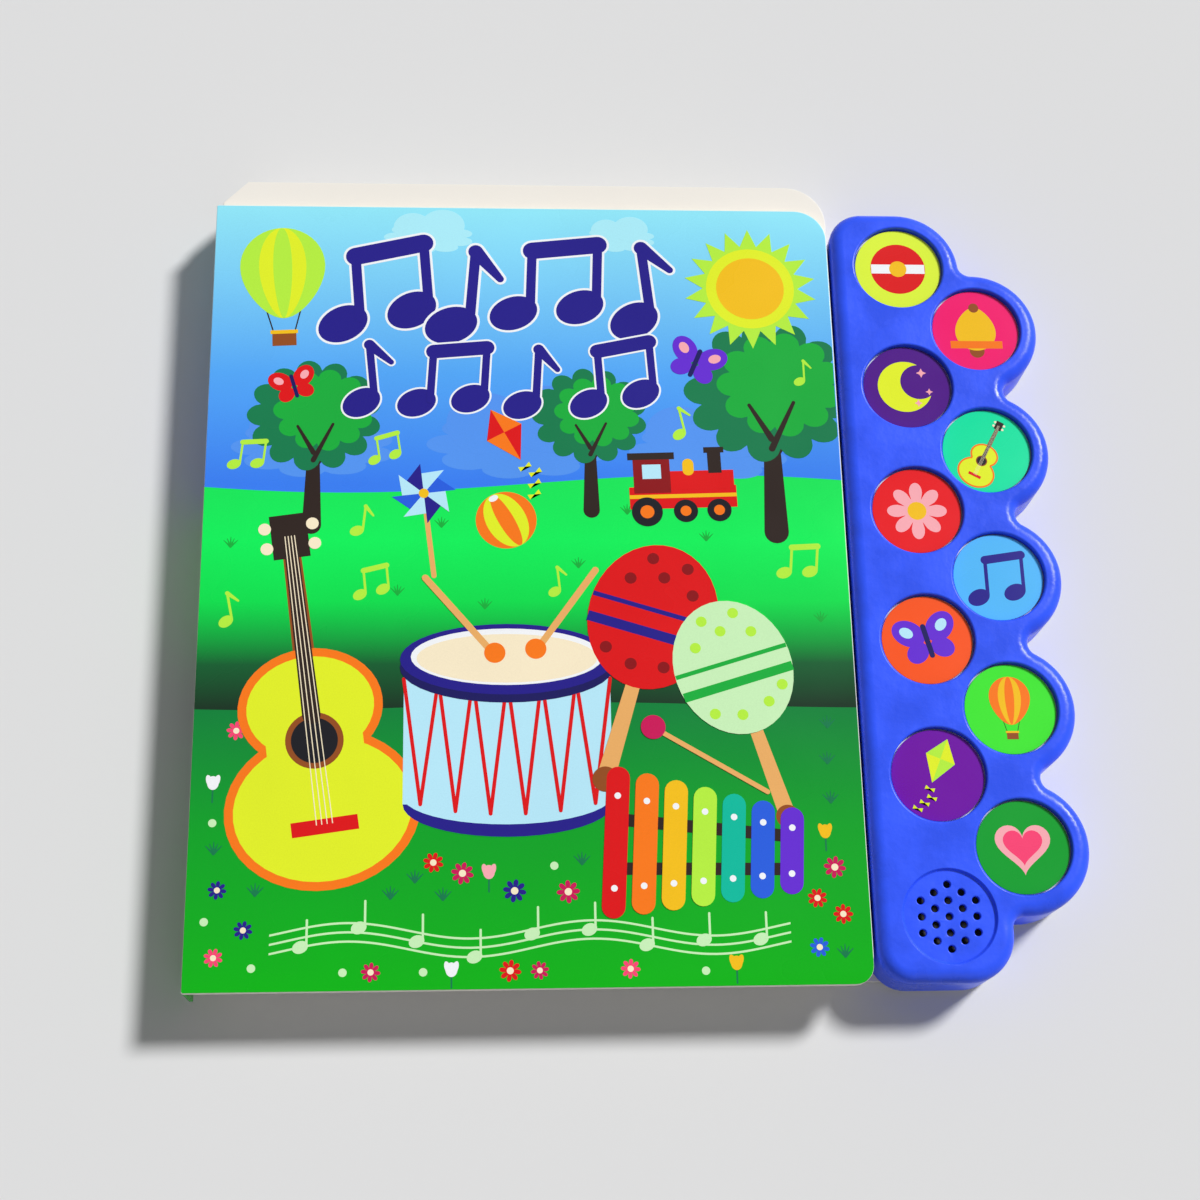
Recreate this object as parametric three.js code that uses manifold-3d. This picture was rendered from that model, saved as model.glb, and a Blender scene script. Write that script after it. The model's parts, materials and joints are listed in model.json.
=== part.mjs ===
// Sound book: a board book with a ten-button sound module along its fore-edge.
// It lies flat with its front cover up. X runs from the spine to the fore-edge, Y from the foot to the head.
// Sizes are in millimetres, from the cover's spine and foot edges and the back cover's underside.
import * as THREE from 'three';
import Module from 'manifold-3d';
import { mergeVertices } from 'three/addons/utils/BufferGeometryUtils.js';

const wasm = await Module();
wasm.setup();

// Boards and leaves
const cover = { width: 179.5, height: 229, board: 2.4, headCorner: 9.5, footCorner: 5 };
const leaves = {
  thick: 12.8, count: 6, foreStand: 0.7, headStand: 9.6, footInset: 3,
  spineChamfer: 7, headCorner: 12, footCorner: 5, grooveHigh: 0.3, grooveDeep: 0.8,
};
const spine = { card: 1.2 };
const clear = { board: 0.2, seat: 0.3, label: 0.05, pcb: 0.2 };

// Sound module
const shell = {
  gapToCover: 1.5, wall: 2, face: 2, edge: 3.4, leftCorner: 9.5, footStraight: 1.52,
  lobe: 18.45, notch: 3.5, innerCorner: 3, headAboveCover: 0.1, boardInset: 1,
};
const button = {
  columnInset: 19.74, columnStep: 21.66, pitch: 38.59, stagger: 20.11, rows: 5,
  hole: 13.17, holeEase: 0.4, sideClear: 0.35, flange: 13.9, flangeThick: 1, sink: 1.4, labelThick: 0.2,
  labelMargin: 0.5,
};
const dome = { foot: 4.2, top: 2.5, lip: 0.5, wall: 0.6 };
const speaker = {
  side: 17.46, dish: 13, dishSlope: 1.8, dishDeep: 1, frame: 13.5, frameWall: 1.1, magnet: 7.3, ledge: 1.8,
  rimHigh: 2.3, frameDeep: 6.1, cone: 3, film: 0.4, coneDrop: 2.4,
};
const grille = { hole: 1.05, pitch: 4.3, centreColumn: 5 };
const floor = { thick: 1.8, clear: 0.3 };
const pcb = {
  thick: 1.2, below: 6.6, leftInset: 10.2, rightReach: 4.1, headReach: 4.4, cornerX: 21, cornerY: 18,
};
const screw = {
  shank: 0.9, bore: 1.2, head: 2.2, headThick: 1.1, post: 4.2, boss: 3, wallInset: 6.5, notchInset: 1.9,
};
const cell = { radius: 5.8, high: 5.4, pitch: 11.9, count: 3 };
const bay = {
  width: 13, wall: 2, endRoom: 1.5, screwBlock: 8, ledge: 1, centreFromColumn: 3.3, centreRow: 1.76,
};
const door = { thick: 1.4, windowMargin: 1 };
const strip = { thick: 0.3, width: 5, gap: 0.1 };
const chip = { radius: 5.8, shoulder: 4.93, high: 1.7, row: 3.4 };
const wire = { radius: 0.5, spread: 3.75, dip: 2 };

// Facets: arc counts half the chords of an outline's arc, the others count the sides of a full turn
const facets = { arc: 4, hole: 24, cap: 20, speaker: 16, small: 8, grille: 6, bevel: 3, wireSteps: 9 };

// Colours taken by eye
const colour = {
  print: 0x35b8f0, leaf: 0xf1ece3, card: 0x2f9d3a, blue: 0x3f63ff, boardGreen: 0x1c6b3a, black: 0x15161a,
  rubber: 0xc9ccd0, steel: 0xb8bcc2, cone: 0x2a2a2d, magnet: 0x3c3d42, red: 0xc3242b, cap: 0xe9edf5,
};
const labelColours = [
  0xe8ff50, 0xff146e, 0x4b0082, 0x00f0a5, 0xff141e, 0x46b4ff, 0xff5519, 0x32fa28, 0x6e00a0, 0x00a028,
];

// Levels, from the underside up
const level = {};
level.boardTop = cover.board;
level.leavesLow = level.boardTop + clear.board;
level.leavesTop = level.leavesLow + leaves.thick;
level.coverLow = level.leavesTop + clear.board;
level.top = level.coverLow + cover.board;
level.floorLow = level.boardTop + clear.board;
level.floorTop = level.floorLow + floor.thick;
level.faceLow = level.top - shell.face;
level.pcbLow = level.floorTop + pcb.below;
level.pcbTop = level.pcbLow + pcb.thick;
level.postTop = level.pcbLow - clear.pcb;
level.bossLow = level.postTop + clear.seat;

// Plan places
const module = {
  left: cover.width + shell.gapToCover,
  head: cover.height + shell.headAboveCover,
};
const columnLeft = module.left + button.columnInset;
const columnRight = columnLeft + button.columnStep;
const firstRow = module.head - shell.lobe;
const speakerAt = new THREE.Vector2(columnLeft, firstRow - button.rows * button.pitch);
module.foot = speakerAt.y - speaker.side;
module.speakerWall = speakerAt.x + speaker.side;
module.right = columnRight + shell.lobe;
const leavesBox = {
  left: spine.card + clear.seat,
  right: cover.width + leaves.foreStand,
  foot: leaves.footInset,
  head: cover.height + leaves.headStand,
};
const buttonAt = [];
for (let row = 0; row < button.rows; row++) {
  const y = firstRow - row * button.pitch;
  buttonAt.push(new THREE.Vector2(columnLeft, y));
  buttonAt.push(new THREE.Vector2(columnRight, y - button.stagger));
}
// Centre of the arc between the last lobe and the speaker's wall
const innerCornerAt = (() => {
  const last = buttonAt[buttonAt.length - 1];
  const x = module.speakerWall + shell.innerCorner;
  const reach = shell.lobe + shell.innerCorner;
  return new THREE.Vector2(x, last.y - Math.sqrt(reach ** 2 - (x - last.x) ** 2));
})();
module.footCorner = innerCornerAt.y - module.foot - shell.footStraight;
const midGap = (row) => firstRow - (row + 0.5) * button.pitch;
const notchX = columnRight - screw.notchInset;
const screwAt = [
  new THREE.Vector2(module.left + screw.wallInset, midGap(0)),
  new THREE.Vector2(module.left + screw.wallInset, midGap(2)),
  new THREE.Vector2(module.left + screw.wallInset, midGap(4)),
  new THREE.Vector2(notchX, midGap(0) - button.stagger),
  new THREE.Vector2(notchX, midGap(2) - button.stagger),
  new THREE.Vector2(notchX, midGap(3) - button.stagger),
];
const screwsThroughBoard = screwAt.slice(3);

// Geometry helpers
function solid(geometry) {
  const plain = geometry.clone();
  plain.deleteAttribute('normal');
  plain.deleteAttribute('uv');
  const merged = mergeVertices(plain, 1e-4);
  const mesh = new wasm.Mesh({
    numProp: 3,
    vertProperties: new Float32Array(merged.attributes.position.array),
    triVerts: new Uint32Array(merged.index.array),
  });
  return new wasm.Manifold(mesh);
}

function geometryOf(body) {
  const mesh = body.getMesh();
  const geometry = new THREE.BufferGeometry();
  geometry.setAttribute('position', new THREE.BufferAttribute(new Float32Array(mesh.vertProperties), 3));
  geometry.setIndex(new THREE.BufferAttribute(new Uint32Array(mesh.triVerts), 1));
  return geometry;
}

function prism(shape, low, high) {
  const options = { depth: high - low, bevelEnabled: false, curveSegments: facets.arc };
  const geometry = new THREE.ExtrudeGeometry(shape, options);
  return solid(geometry.translate(0, 0, low));
}

function slab(x0, y0, low, x1, y1, high) {
  const geometry = new THREE.BoxGeometry(x1 - x0, y1 - y0, high - low);
  return solid(geometry.translate((x0 + x1) / 2, (y0 + y1) / 2, (low + high) / 2));
}

// A profile of [radius, height] points turned about a vertical axis at the given place
function turned(at, points, segments) {
  const profile = points.map(([radius, height]) => new THREE.Vector2(radius, height));
  const geometry = new THREE.LatheGeometry(profile, segments).rotateX(Math.PI / 2);
  return solid(geometry.translate(at.x, at.y, 0));
}

function rod(at, radius, low, high, segments = facets.small) {
  return turned(at, [[0, low], [radius, low], [radius, high], [0, high]], segments);
}

function joined(bodies) {
  return bodies.reduce((sum, body) => sum.add(body));
}

function without(body, cutters) {
  return cutters.reduce((rest, cutter) => rest.subtract(cutter), body);
}

// A rectangle whose fore-edge corners are round and whose head corner at the spine may be cut off
function boardShape(box, headCorner, footCorner, chamfer = 0) {
  const shape = new THREE.Shape();
  shape.moveTo(box.left, box.foot);
  shape.lineTo(box.right - footCorner, box.foot);
  shape.absarc(box.right - footCorner, box.foot + footCorner, footCorner, -Math.PI / 2, 0, false);
  shape.lineTo(box.right, box.head - headCorner);
  shape.absarc(box.right - headCorner, box.head - headCorner, headCorner, 0, Math.PI / 2, false);
  shape.lineTo(box.left + chamfer, box.head);
  if (chamfer > 0) shape.lineTo(box.left, box.head - chamfer);
  shape.closePath();
  return shape;
}

// Centre of the circle that touches two equal circles from outside, on their fore-edge side
function filletCentre(a, b, reach) {
  const half = b.clone().sub(a).multiplyScalar(0.5);
  const outward = new THREE.Vector2(-half.y, half.x).normalize();
  const lift = Math.sqrt(reach * reach - half.lengthSq());
  return a.clone().add(half).add(outward.multiplyScalar(lift));
}

function angleFrom(centre, point) {
  return Math.atan2(point.y - centre.y, point.x - centre.x);
}

// The module's scalloped outline, drawn clockwise from the left wall and moved inwards by inset
function moduleShape(inset) {
  const lobe = shell.lobe - inset;
  const notch = shell.notch + inset;
  const corner = shell.leftCorner - inset;
  const left = module.left + inset;
  const head = module.head - inset;
  const foot = module.foot + inset;
  const lobes = [buttonAt[0], ...buttonAt.filter((at, index) => index % 2 === 1)];
  const shape = new THREE.Shape();
  shape.moveTo(left, head - corner);
  shape.absarc(left + corner, head - corner, corner, Math.PI, Math.PI / 2, true);
  let from = Math.PI / 2;
  for (let i = 0; i + 1 < lobes.length; i++) {
    const fillet = filletCentre(lobes[i], lobes[i + 1], lobe + notch);
    const out = angleFrom(lobes[i], fillet);
    const back = angleFrom(lobes[i + 1], fillet);
    shape.absarc(lobes[i].x, lobes[i].y, lobe, from, out, true);
    shape.absarc(fillet.x, fillet.y, notch, out + Math.PI, back + Math.PI, false);
    from = back;
  }
  const last = lobes[lobes.length - 1];
  const wall = module.speakerWall - inset;
  const inner = shell.innerCorner + inset;
  const turn = angleFrom(last, innerCornerAt);
  shape.absarc(last.x, last.y, lobe, from, turn, true);
  shape.absarc(innerCornerAt.x, innerCornerAt.y, inner, turn + Math.PI, Math.PI, false);
  const footCorner = module.footCorner - inset;
  shape.absarc(wall - footCorner, foot + footCorner, footCorner, 0, -Math.PI / 2, true);
  shape.absarc(left + corner, foot + corner, corner, -Math.PI / 2, -Math.PI, true);
  shape.closePath();
  return shape;
}

// Book boards
function frontCover() {
  const box = { left: 0, right: cover.width, foot: 0, head: cover.height };
  return prism(boardShape(box, cover.headCorner, cover.footCorner), level.coverLow, level.top);
}

function spineStrip() {
  return slab(0, 0, level.leavesLow, spine.card, cover.height, level.leavesTop);
}

function pageBlock() {
  const outer = boardShape(leavesBox, leaves.headCorner, leaves.footCorner, leaves.spineChamfer);
  const deep = leaves.grooveDeep;
  const core = {
    left: leavesBox.left - deep, right: leavesBox.right - deep,
    foot: leavesBox.foot + deep, head: leavesBox.head - deep,
  };
  const inner = boardShape(core, leaves.headCorner - deep, leaves.footCorner - deep, leaves.spineChamfer);
  const leaf = leaves.thick / leaves.count;
  const block = prism(outer, level.leavesLow, level.leavesTop);
  const grooves = [];
  for (let i = 1; i < leaves.count; i++) {
    const low = level.leavesLow + i * leaf - leaves.grooveHigh / 2;
    const high = low + leaves.grooveHigh;
    const band = slab(
      leavesBox.left - deep, leavesBox.foot - deep, low, leavesBox.right + deep, leavesBox.head + deep, high);
    grooves.push(band.subtract(prism(inner, low - deep, high + deep)));
  }
  return without(block, grooves);
}

const bayBox = (() => {
  const length = cell.count * cell.pitch + 2 * bay.endRoom;
  const centreX = columnLeft + bay.centreFromColumn;
  const foot = firstRow - bay.centreRow * button.pitch - length / 2 - bay.screwBlock / 2;
  return {
    left: centreX - bay.width / 2, right: centreX + bay.width / 2,
    foot: foot + bay.screwBlock, head: foot + bay.screwBlock + length, block: foot,
  };
})();
const cellAt = [...Array(cell.count).keys()].map((index) => new THREE.Vector2(
  (bayBox.left + bayBox.right) / 2, bayBox.head - bay.endRoom - (index + 0.5) * cell.pitch));
const doorScrewAt = new THREE.Vector2((bayBox.left + bayBox.right) / 2, (bayBox.block + bayBox.foot) / 2);

// The door's outline, grown by the given margin
function doorSlab(margin, low, high) {
  const grow = bay.ledge + margin;
  return slab(bayBox.left - grow, bayBox.block - grow, low, bayBox.right + grow, bayBox.head + grow, high);
}

function backCover() {
  const box = { ...leavesBox, left: 0 };
  const book = boardShape(box, leaves.headCorner, leaves.footCorner, leaves.spineChamfer);
  const inset = shell.boardInset;
  const bridge = slab(
    cover.width / 2, leavesBox.foot, 0,
    module.left + shell.leftCorner + inset, module.head - inset, level.boardTop);
  const underModule = prism(moduleShape(inset), 0, level.boardTop);
  const board = joined([prism(book, 0, level.boardTop), bridge, underModule]);
  return board.subtract(doorSlab(door.windowMargin, -1, level.boardTop + 1));
}

// Module shells
function grilleHoles() {
  const holes = [];
  const reach = (grille.centreColumn - 1) / 2;
  const columnStep = grille.pitch * Math.cos(Math.PI / 6);
  for (let column = -reach; column <= reach; column++) {
    const count = grille.centreColumn - Math.abs(column);
    for (let i = 0; i < count; i++) {
      const at = new THREE.Vector2(
        speakerAt.x + column * columnStep, speakerAt.y + (i - (count - 1) / 2) * grille.pitch);
      holes.push(rod(at, grille.hole, level.faceLow - 1, level.top + 1, facets.grille));
    }
  }
  return holes;
}

function topShell() {
  const above = level.top + 1;
  const outer = new THREE.ExtrudeGeometry(moduleShape(0), {
    depth: level.top - level.floorLow, curveSegments: facets.arc,
    bevelEnabled: true, bevelThickness: shell.edge, bevelSize: shell.edge, bevelOffset: -shell.edge,
    bevelSegments: facets.bevel,
  });
  outer.translate(0, 0, level.floorLow - shell.edge);
  const keep = slab(
    module.left - 1, module.foot - 1, level.floorLow, module.right + 1, module.head + 1, above);
  const body = solid(outer).intersect(keep);
  const cavity = prism(moduleShape(shell.wall), level.floorLow - 1, level.faceLow);
  const ease = button.holeEase;
  const holes = buttonAt.map((at) => turned(at, [
    [0, level.faceLow - 1], [button.hole, level.faceLow - 1], [button.hole, level.top - ease],
    [button.hole + ease, level.top], [button.hole + ease, above], [0, above],
  ], facets.hole));
  const dishFloor = level.top - speaker.dishDeep;
  const dish = turned(speakerAt, [
    [0, dishFloor], [speaker.dish - speaker.dishSlope, dishFloor], [speaker.dish, level.top],
    [speaker.dish, above], [0, above],
  ], facets.hole);
  const half = shell.face / 2;
  const bosses = screwAt.map((at) => rod(at, screw.boss, level.bossLow, level.faceLow + half));
  const bores = screwAt.map((at) => rod(at, screw.bore, level.bossLow - 1, level.faceLow - half));
  const shellBody = joined([body.subtract(cavity), ...bosses]);
  return without(shellBody, [...holes, dish, ...grilleHoles(), ...bores]);
}

function bottomShell() {
  const plate = prism(moduleShape(shell.wall + floor.clear), level.floorLow, level.floorTop);
  const posts = screwAt.map((at) => rod(at, screw.post, level.floorLow, level.postTop));
  const wall = bay.wall;
  const walls = slab(
    bayBox.left - wall, bayBox.block - wall, level.floorLow,
    bayBox.right + wall, bayBox.head + wall, level.postTop);
  const cavity = slab(
    bayBox.left, bayBox.foot, level.floorLow - 1, bayBox.right, bayBox.head, level.postTop + 1);
  const seat = doorSlab(clear.seat, level.floorLow - 1, level.floorLow + door.thick + clear.seat);
  const headRoom = screw.headThick + 2 * clear.seat;
  const below = level.floorLow - 1;
  const seatTop = level.floorLow + headRoom;
  const seats = screwAt.map((at) => rod(at, screw.head + clear.seat, below, seatTop));
  const bores = [...screwAt, doorScrewAt].map((at) => rod(at, screw.bore, below, level.postTop + 1));
  return without(joined([plate, ...posts, walls]), [cavity, seat, ...seats, ...bores]);
}

// A pan-headed screw, head down, with its shank pointing up
function screwBody(at, headLow, top) {
  const seat = headLow + screw.headThick;
  const slotHalf = screw.shank / 3;
  const body = turned(at, [
    [0, headLow], [screw.head, headLow], [screw.head, seat], [screw.shank, seat],
    [screw.shank, top], [0, top],
  ], facets.small);
  const slotTop = headLow + screw.headThick / 2;
  const slot = slab(
    at.x - screw.head, at.y - slotHalf, headLow - 1, at.x + screw.head, at.y + slotHalf, slotTop);
  return body.subtract(slot);
}

// Buttons
const capTop = level.top - button.sink - button.labelThick - clear.label;
const flangeTop = level.faceLow - clear.seat;
const flangeLow = flangeTop - button.flangeThick;
const capRadius = button.hole - button.sideClear;

function buttonCap(at) {
  return turned(at, [
    [0, flangeLow], [button.flange, flangeLow], [button.flange, flangeTop], [capRadius, flangeTop],
    [capRadius, capTop], [0, capTop],
  ], facets.cap);
}

function buttonLabel(at) {
  const low = capTop + clear.label;
  return rod(at, capRadius - button.labelMargin, low, low + button.labelThick, facets.cap);
}

function switchDome(at) {
  const low = level.pcbTop + clear.label;
  const top = flangeLow - clear.seat;
  return turned(at, [
    [0, top - dome.wall], [dome.top - dome.wall, top - dome.wall], [dome.foot - 2 * dome.wall, low],
    [dome.foot, low], [dome.foot, low + dome.lip], [dome.top, top], [0, top],
  ], facets.small);
}

// Electronics
function circuitBoard() {
  const left = module.left + pcb.leftInset;
  const right = columnRight + pcb.rightReach;
  const foot = speakerAt.y + speaker.frame + 2 * clear.seat;
  const head = firstRow + pcb.headReach;
  const shape = new THREE.Shape();
  shape.moveTo(left, foot);
  shape.lineTo(right, foot);
  shape.lineTo(right, head - pcb.cornerY);
  shape.lineTo(right - pcb.cornerX, head);
  shape.lineTo(left, head);
  shape.closePath();
  const holeRadius = screw.boss + 2 * clear.seat;
  const holes = screwsThroughBoard.map((at) => rod(at, holeRadius, level.pcbLow - 1, level.pcbTop + 1));
  return without(prism(shape, level.pcbLow, level.pcbTop), holes);
}

function chipBlob() {
  const top = level.pcbLow - clear.label;
  const at = new THREE.Vector2(columnLeft + bay.centreFromColumn, firstRow - chip.row * button.pitch);
  const low = top - chip.high;
  return turned(at, [
    [0, low], [chip.radius / 2, low + chip.high / 6], [chip.shoulder, low + chip.high / 2],
    [chip.radius, top], [0, top],
  ], facets.speaker);
}

const speakerTop = level.faceLow - clear.seat;
const speakerLow = speakerTop - speaker.frameDeep;

function speakerFrame() {
  const bore = speaker.magnet + clear.seat;
  const inner = speaker.frame - speaker.frameWall;
  const rimLow = speakerTop - speaker.rimHigh;
  return turned(speakerAt, [
    [bore, speakerLow], [bore + speaker.ledge, speakerLow], [speaker.frame, rimLow],
    [speaker.frame, speakerTop], [inner, speakerTop], [inner, rimLow + speaker.frameWall / 2],
    [bore + speaker.frameWall, speakerLow + speaker.frameWall], [bore, speakerLow + speaker.frameWall],
    [bore, speakerLow],
  ], facets.speaker);
}

function speakerCone() {
  const rim = speaker.frame - speaker.frameWall - clear.seat;
  const rimLow = speakerTop - speaker.rimHigh / 2;
  const bottom = rimLow - speaker.coneDrop;
  const film = speaker.film;
  return turned(speakerAt, [
    [0, bottom + film], [speaker.cone, bottom], [rim, rimLow], [rim, rimLow + film],
    [speaker.cone, bottom + film], [0, bottom + 2 * film],
  ], facets.speaker);
}

function speakerMagnet() {
  const low = level.floorTop + clear.seat;
  return rod(speakerAt, speaker.magnet, low, speakerLow + 2 * speaker.frameWall, facets.speaker);
}

function speakerWire(side) {
  const x = speakerAt.x + side * wire.spread;
  const ledge = speaker.magnet + clear.seat + speaker.ledge / 2;
  const start = speakerAt.y + Math.sqrt(ledge * ledge - wire.spread * wire.spread);
  const end = speakerAt.y + speaker.frame + button.flangeThick + speaker.rimHigh;
  const high = speakerLow - clear.seat;
  const low = high - wire.dip;
  const points = [
    [start, high], [start, high - wire.dip / 2], [start + wire.dip / 2, low], [(start + end) / 2, low],
    [end - wire.dip / 2, low], [end, high - wire.dip / 2], [end, level.pcbLow - clear.seat],
  ];
  const path = new THREE.CatmullRomCurve3(points.map(([y, z]) => new THREE.Vector3(x, y, z)));
  const section = new THREE.Shape();
  section.absarc(0, 0, wire.radius, 0, 2 * Math.PI, false);
  const options = { extrudePath: path, steps: facets.wireSteps, curveSegments: facets.arc };
  return solid(new THREE.ExtrudeGeometry(section, options));
}

const cellLow = level.floorLow + door.thick + strip.gap * 2 + strip.thick;
const cellTop = cellLow + cell.high;

// Strips above the cells lie at cellTop, strips below them lie on the door
function contactStrip(fromCell, toCell, above, riser) {
  const half = strip.width / 2;
  const low = above ? cellTop + strip.gap : cellLow - strip.gap - strip.thick;
  const head = cellAt[fromCell].y + half;
  const foot = cellAt[toCell].y - half;
  const x = cellAt[fromCell].x;
  const tongue = slab(x - half, foot, low, x + half, head, low + strip.thick);
  if (!riser) return tongue;
  const riserTop = level.pcbLow - strip.gap;
  if (riser === 'head') {
    const back = bayBox.head - clear.seat;
    const run = slab(x - half, foot, low, x + half, back, low + strip.thick);
    return joined([run, slab(x - half, back - strip.thick, low, x + half, back, riserTop)]);
  }
  const back = bayBox.foot + clear.seat;
  const run = slab(x - half, back, low, x + half, head, low + strip.thick);
  return joined([run, slab(x - half, back, low, x + half, back + strip.thick, riserTop)]);
}

function batteryDoor() {
  const top = level.floorLow + door.thick;
  const plate = doorSlab(0, level.floorLow, top);
  const headRoom = screw.headThick / 2;
  return without(plate, [
    rod(doorScrewAt, screw.bore, level.floorLow - 1, top + 1),
    rod(doorScrewAt, screw.head + clear.seat, level.floorLow - 1, level.floorLow + headRoom),
  ]);
}

// Assembly
const book = new THREE.Group();
book.position.set(-module.right / 2, -leavesBox.head / 2, 0);

function add(name, body, tint, roughness, metalness = 0) {
  const material = new THREE.MeshStandardMaterial({ color: tint, roughness, metalness });
  const mesh = new THREE.Mesh(geometryOf(body), material);
  mesh.name = name;
  book.add(mesh);
}

add('front_cover', frontCover(), colour.print, 0.25);
add('back_cover', backCover(), colour.card, 0.3);
add('spine', spineStrip(), colour.print, 0.3);
add('page_block', pageBlock(), colour.leaf, 0.8);
add('module_top_shell', topShell(), colour.blue, 0.35);
add('module_bottom_shell', bottomShell(), colour.blue, 0.45);
add('circuit_board', circuitBoard(), colour.boardGreen, 0.5);
add('sound_chip', chipBlob(), colour.black, 0.3);
buttonAt.forEach((at, index) => {
  const number = index + 1;
  add(`button_${number}`, buttonCap(at), colour.cap, 0.4);
  add(`button_label_${number}`, buttonLabel(at), labelColours[index % labelColours.length], 0.3);
  add(`switch_dome_${number}`, switchDome(at), colour.rubber, 0.7);
});
add('speaker_frame', speakerFrame(), colour.steel, 0.35, 0.9);
add('speaker_cone', speakerCone(), colour.cone, 0.6);
add('speaker_magnet', speakerMagnet(), colour.magnet, 0.4, 0.8);
add('speaker_wire_red', speakerWire(-1), colour.red, 0.5);
add('speaker_wire_black', speakerWire(1), colour.black, 0.5);
cellAt.forEach((at, index) => {
  add(`battery_cell_${index + 1}`, rod(at, cell.radius, cellLow, cellTop, facets.cap), colour.steel, 0.25, 1);
});
add('battery_contact_positive', contactStrip(0, 0, true, 'head'), colour.steel, 0.3, 1);
add('battery_link_lower', contactStrip(0, 1, false, null), colour.steel, 0.3, 1);
add('battery_link_upper', contactStrip(1, 2, true, null), colour.steel, 0.3, 1);
add('battery_contact_negative', contactStrip(2, 2, false, 'foot'), colour.steel, 0.3, 1);
add('battery_door', batteryDoor(), colour.blue, 0.45);
const doorScrewLow = level.floorLow + screw.headThick / 2 - clear.seat - screw.headThick;
const doorScrewTip = level.postTop - clear.seat;
add('battery_door_screw', screwBody(doorScrewAt, doorScrewLow, doorScrewTip), colour.steel, 0.3, 1);
screwAt.forEach((at, index) => {
  const headLow = level.floorLow + clear.seat;
  const tip = level.faceLow - shell.face;
  add(`case_screw_${index + 1}`, screwBody(at, headLow, tip), colour.steel, 0.3, 1);
});

export default book;
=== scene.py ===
"""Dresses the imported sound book: boards, leaves, sound module, buttons and print.

Lengths in the settings are metres. The print is laid out in millimetres from the cover's spine and
foot edges, because that is how a cover is set out.
"""
import json
import math
import random

import bpy
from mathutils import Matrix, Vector


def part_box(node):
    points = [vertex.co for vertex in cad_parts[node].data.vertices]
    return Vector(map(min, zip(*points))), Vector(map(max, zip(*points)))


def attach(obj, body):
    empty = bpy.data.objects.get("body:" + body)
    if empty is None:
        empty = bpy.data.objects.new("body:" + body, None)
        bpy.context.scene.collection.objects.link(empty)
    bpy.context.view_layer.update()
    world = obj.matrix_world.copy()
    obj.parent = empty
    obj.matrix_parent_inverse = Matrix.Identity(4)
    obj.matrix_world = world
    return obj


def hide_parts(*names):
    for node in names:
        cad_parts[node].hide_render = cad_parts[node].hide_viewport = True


bl_info = {
    "name": "Sound Book",
    "version": (1, 0, 0),
    "blender": (4, 5, 0),
    "location": "3D View > Sidebar > Sound Book",
    "description": "Builds the boards, leaves, sound module, buttons and print of a sound book",
    "category": "Object",
}

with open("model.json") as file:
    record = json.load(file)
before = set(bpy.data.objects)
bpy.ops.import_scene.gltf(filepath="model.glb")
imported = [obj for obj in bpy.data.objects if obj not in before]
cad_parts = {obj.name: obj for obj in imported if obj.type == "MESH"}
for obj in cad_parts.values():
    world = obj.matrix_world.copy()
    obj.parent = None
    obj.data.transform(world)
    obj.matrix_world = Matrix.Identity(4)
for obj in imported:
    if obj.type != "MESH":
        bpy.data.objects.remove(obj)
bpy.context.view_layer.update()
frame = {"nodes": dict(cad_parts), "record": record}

MM = 0.001
BUTTON_NUMBERS = range(1, 11)


def corners(node):
    """The lower and upper corner of a node's box."""
    low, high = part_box(node)
    return Vector(low), Vector(high)


def node_centre(node):
    low, high = corners(node)
    return (low + high) / 2


COVER_LOW, COVER_HIGH = corners("front_cover")
SHELL_LOW, SHELL_HIGH = corners("module_top_shell")
LEAVES_LOW, LEAVES_HIGH = corners("page_block")
BACK_LOW, BACK_HIGH = corners("back_cover")
DOOR_LOW, DOOR_HIGH = corners("battery_door")
BUTTONS = {number: node_centre(f"button_{number}") for number in BUTTON_NUMBERS}
SPEAKER = node_centre("speaker_frame")
# Corners of the boards: at the head and at the foot of the fore-edge, then the cut at the spine's head
COVER_CORNERS = (9.5 * MM, 5 * MM)
LEAF_CORNERS = (12 * MM, 5 * MM, 7 * MM)
# A face counts as flat when its normal points at least this far up or down
FLAT = 0.9
# Points nearer than this are the same one
NEAREST = 0.001 * MM


def srgb(red, green, blue):
    """A colour given in the 0 to 255 steps of a paint chart, as linear light."""
    def linear(step):
        share = step / 255
        if share <= 0.04045:
            return share / 12.92
        return ((share + 0.055) / 1.055) ** 2.4
    return linear(red), linear(green), linear(blue)


def length(name, description, default):
    return bpy.props.FloatProperty(
        name=name, description=description, default=default, min=0, unit="LENGTH", precision=5)


def colour(name, description, default):
    return bpy.props.FloatVectorProperty(
        name=name, description=description, default=default, subtype="COLOR", size=3, min=0, max=1)


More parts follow.
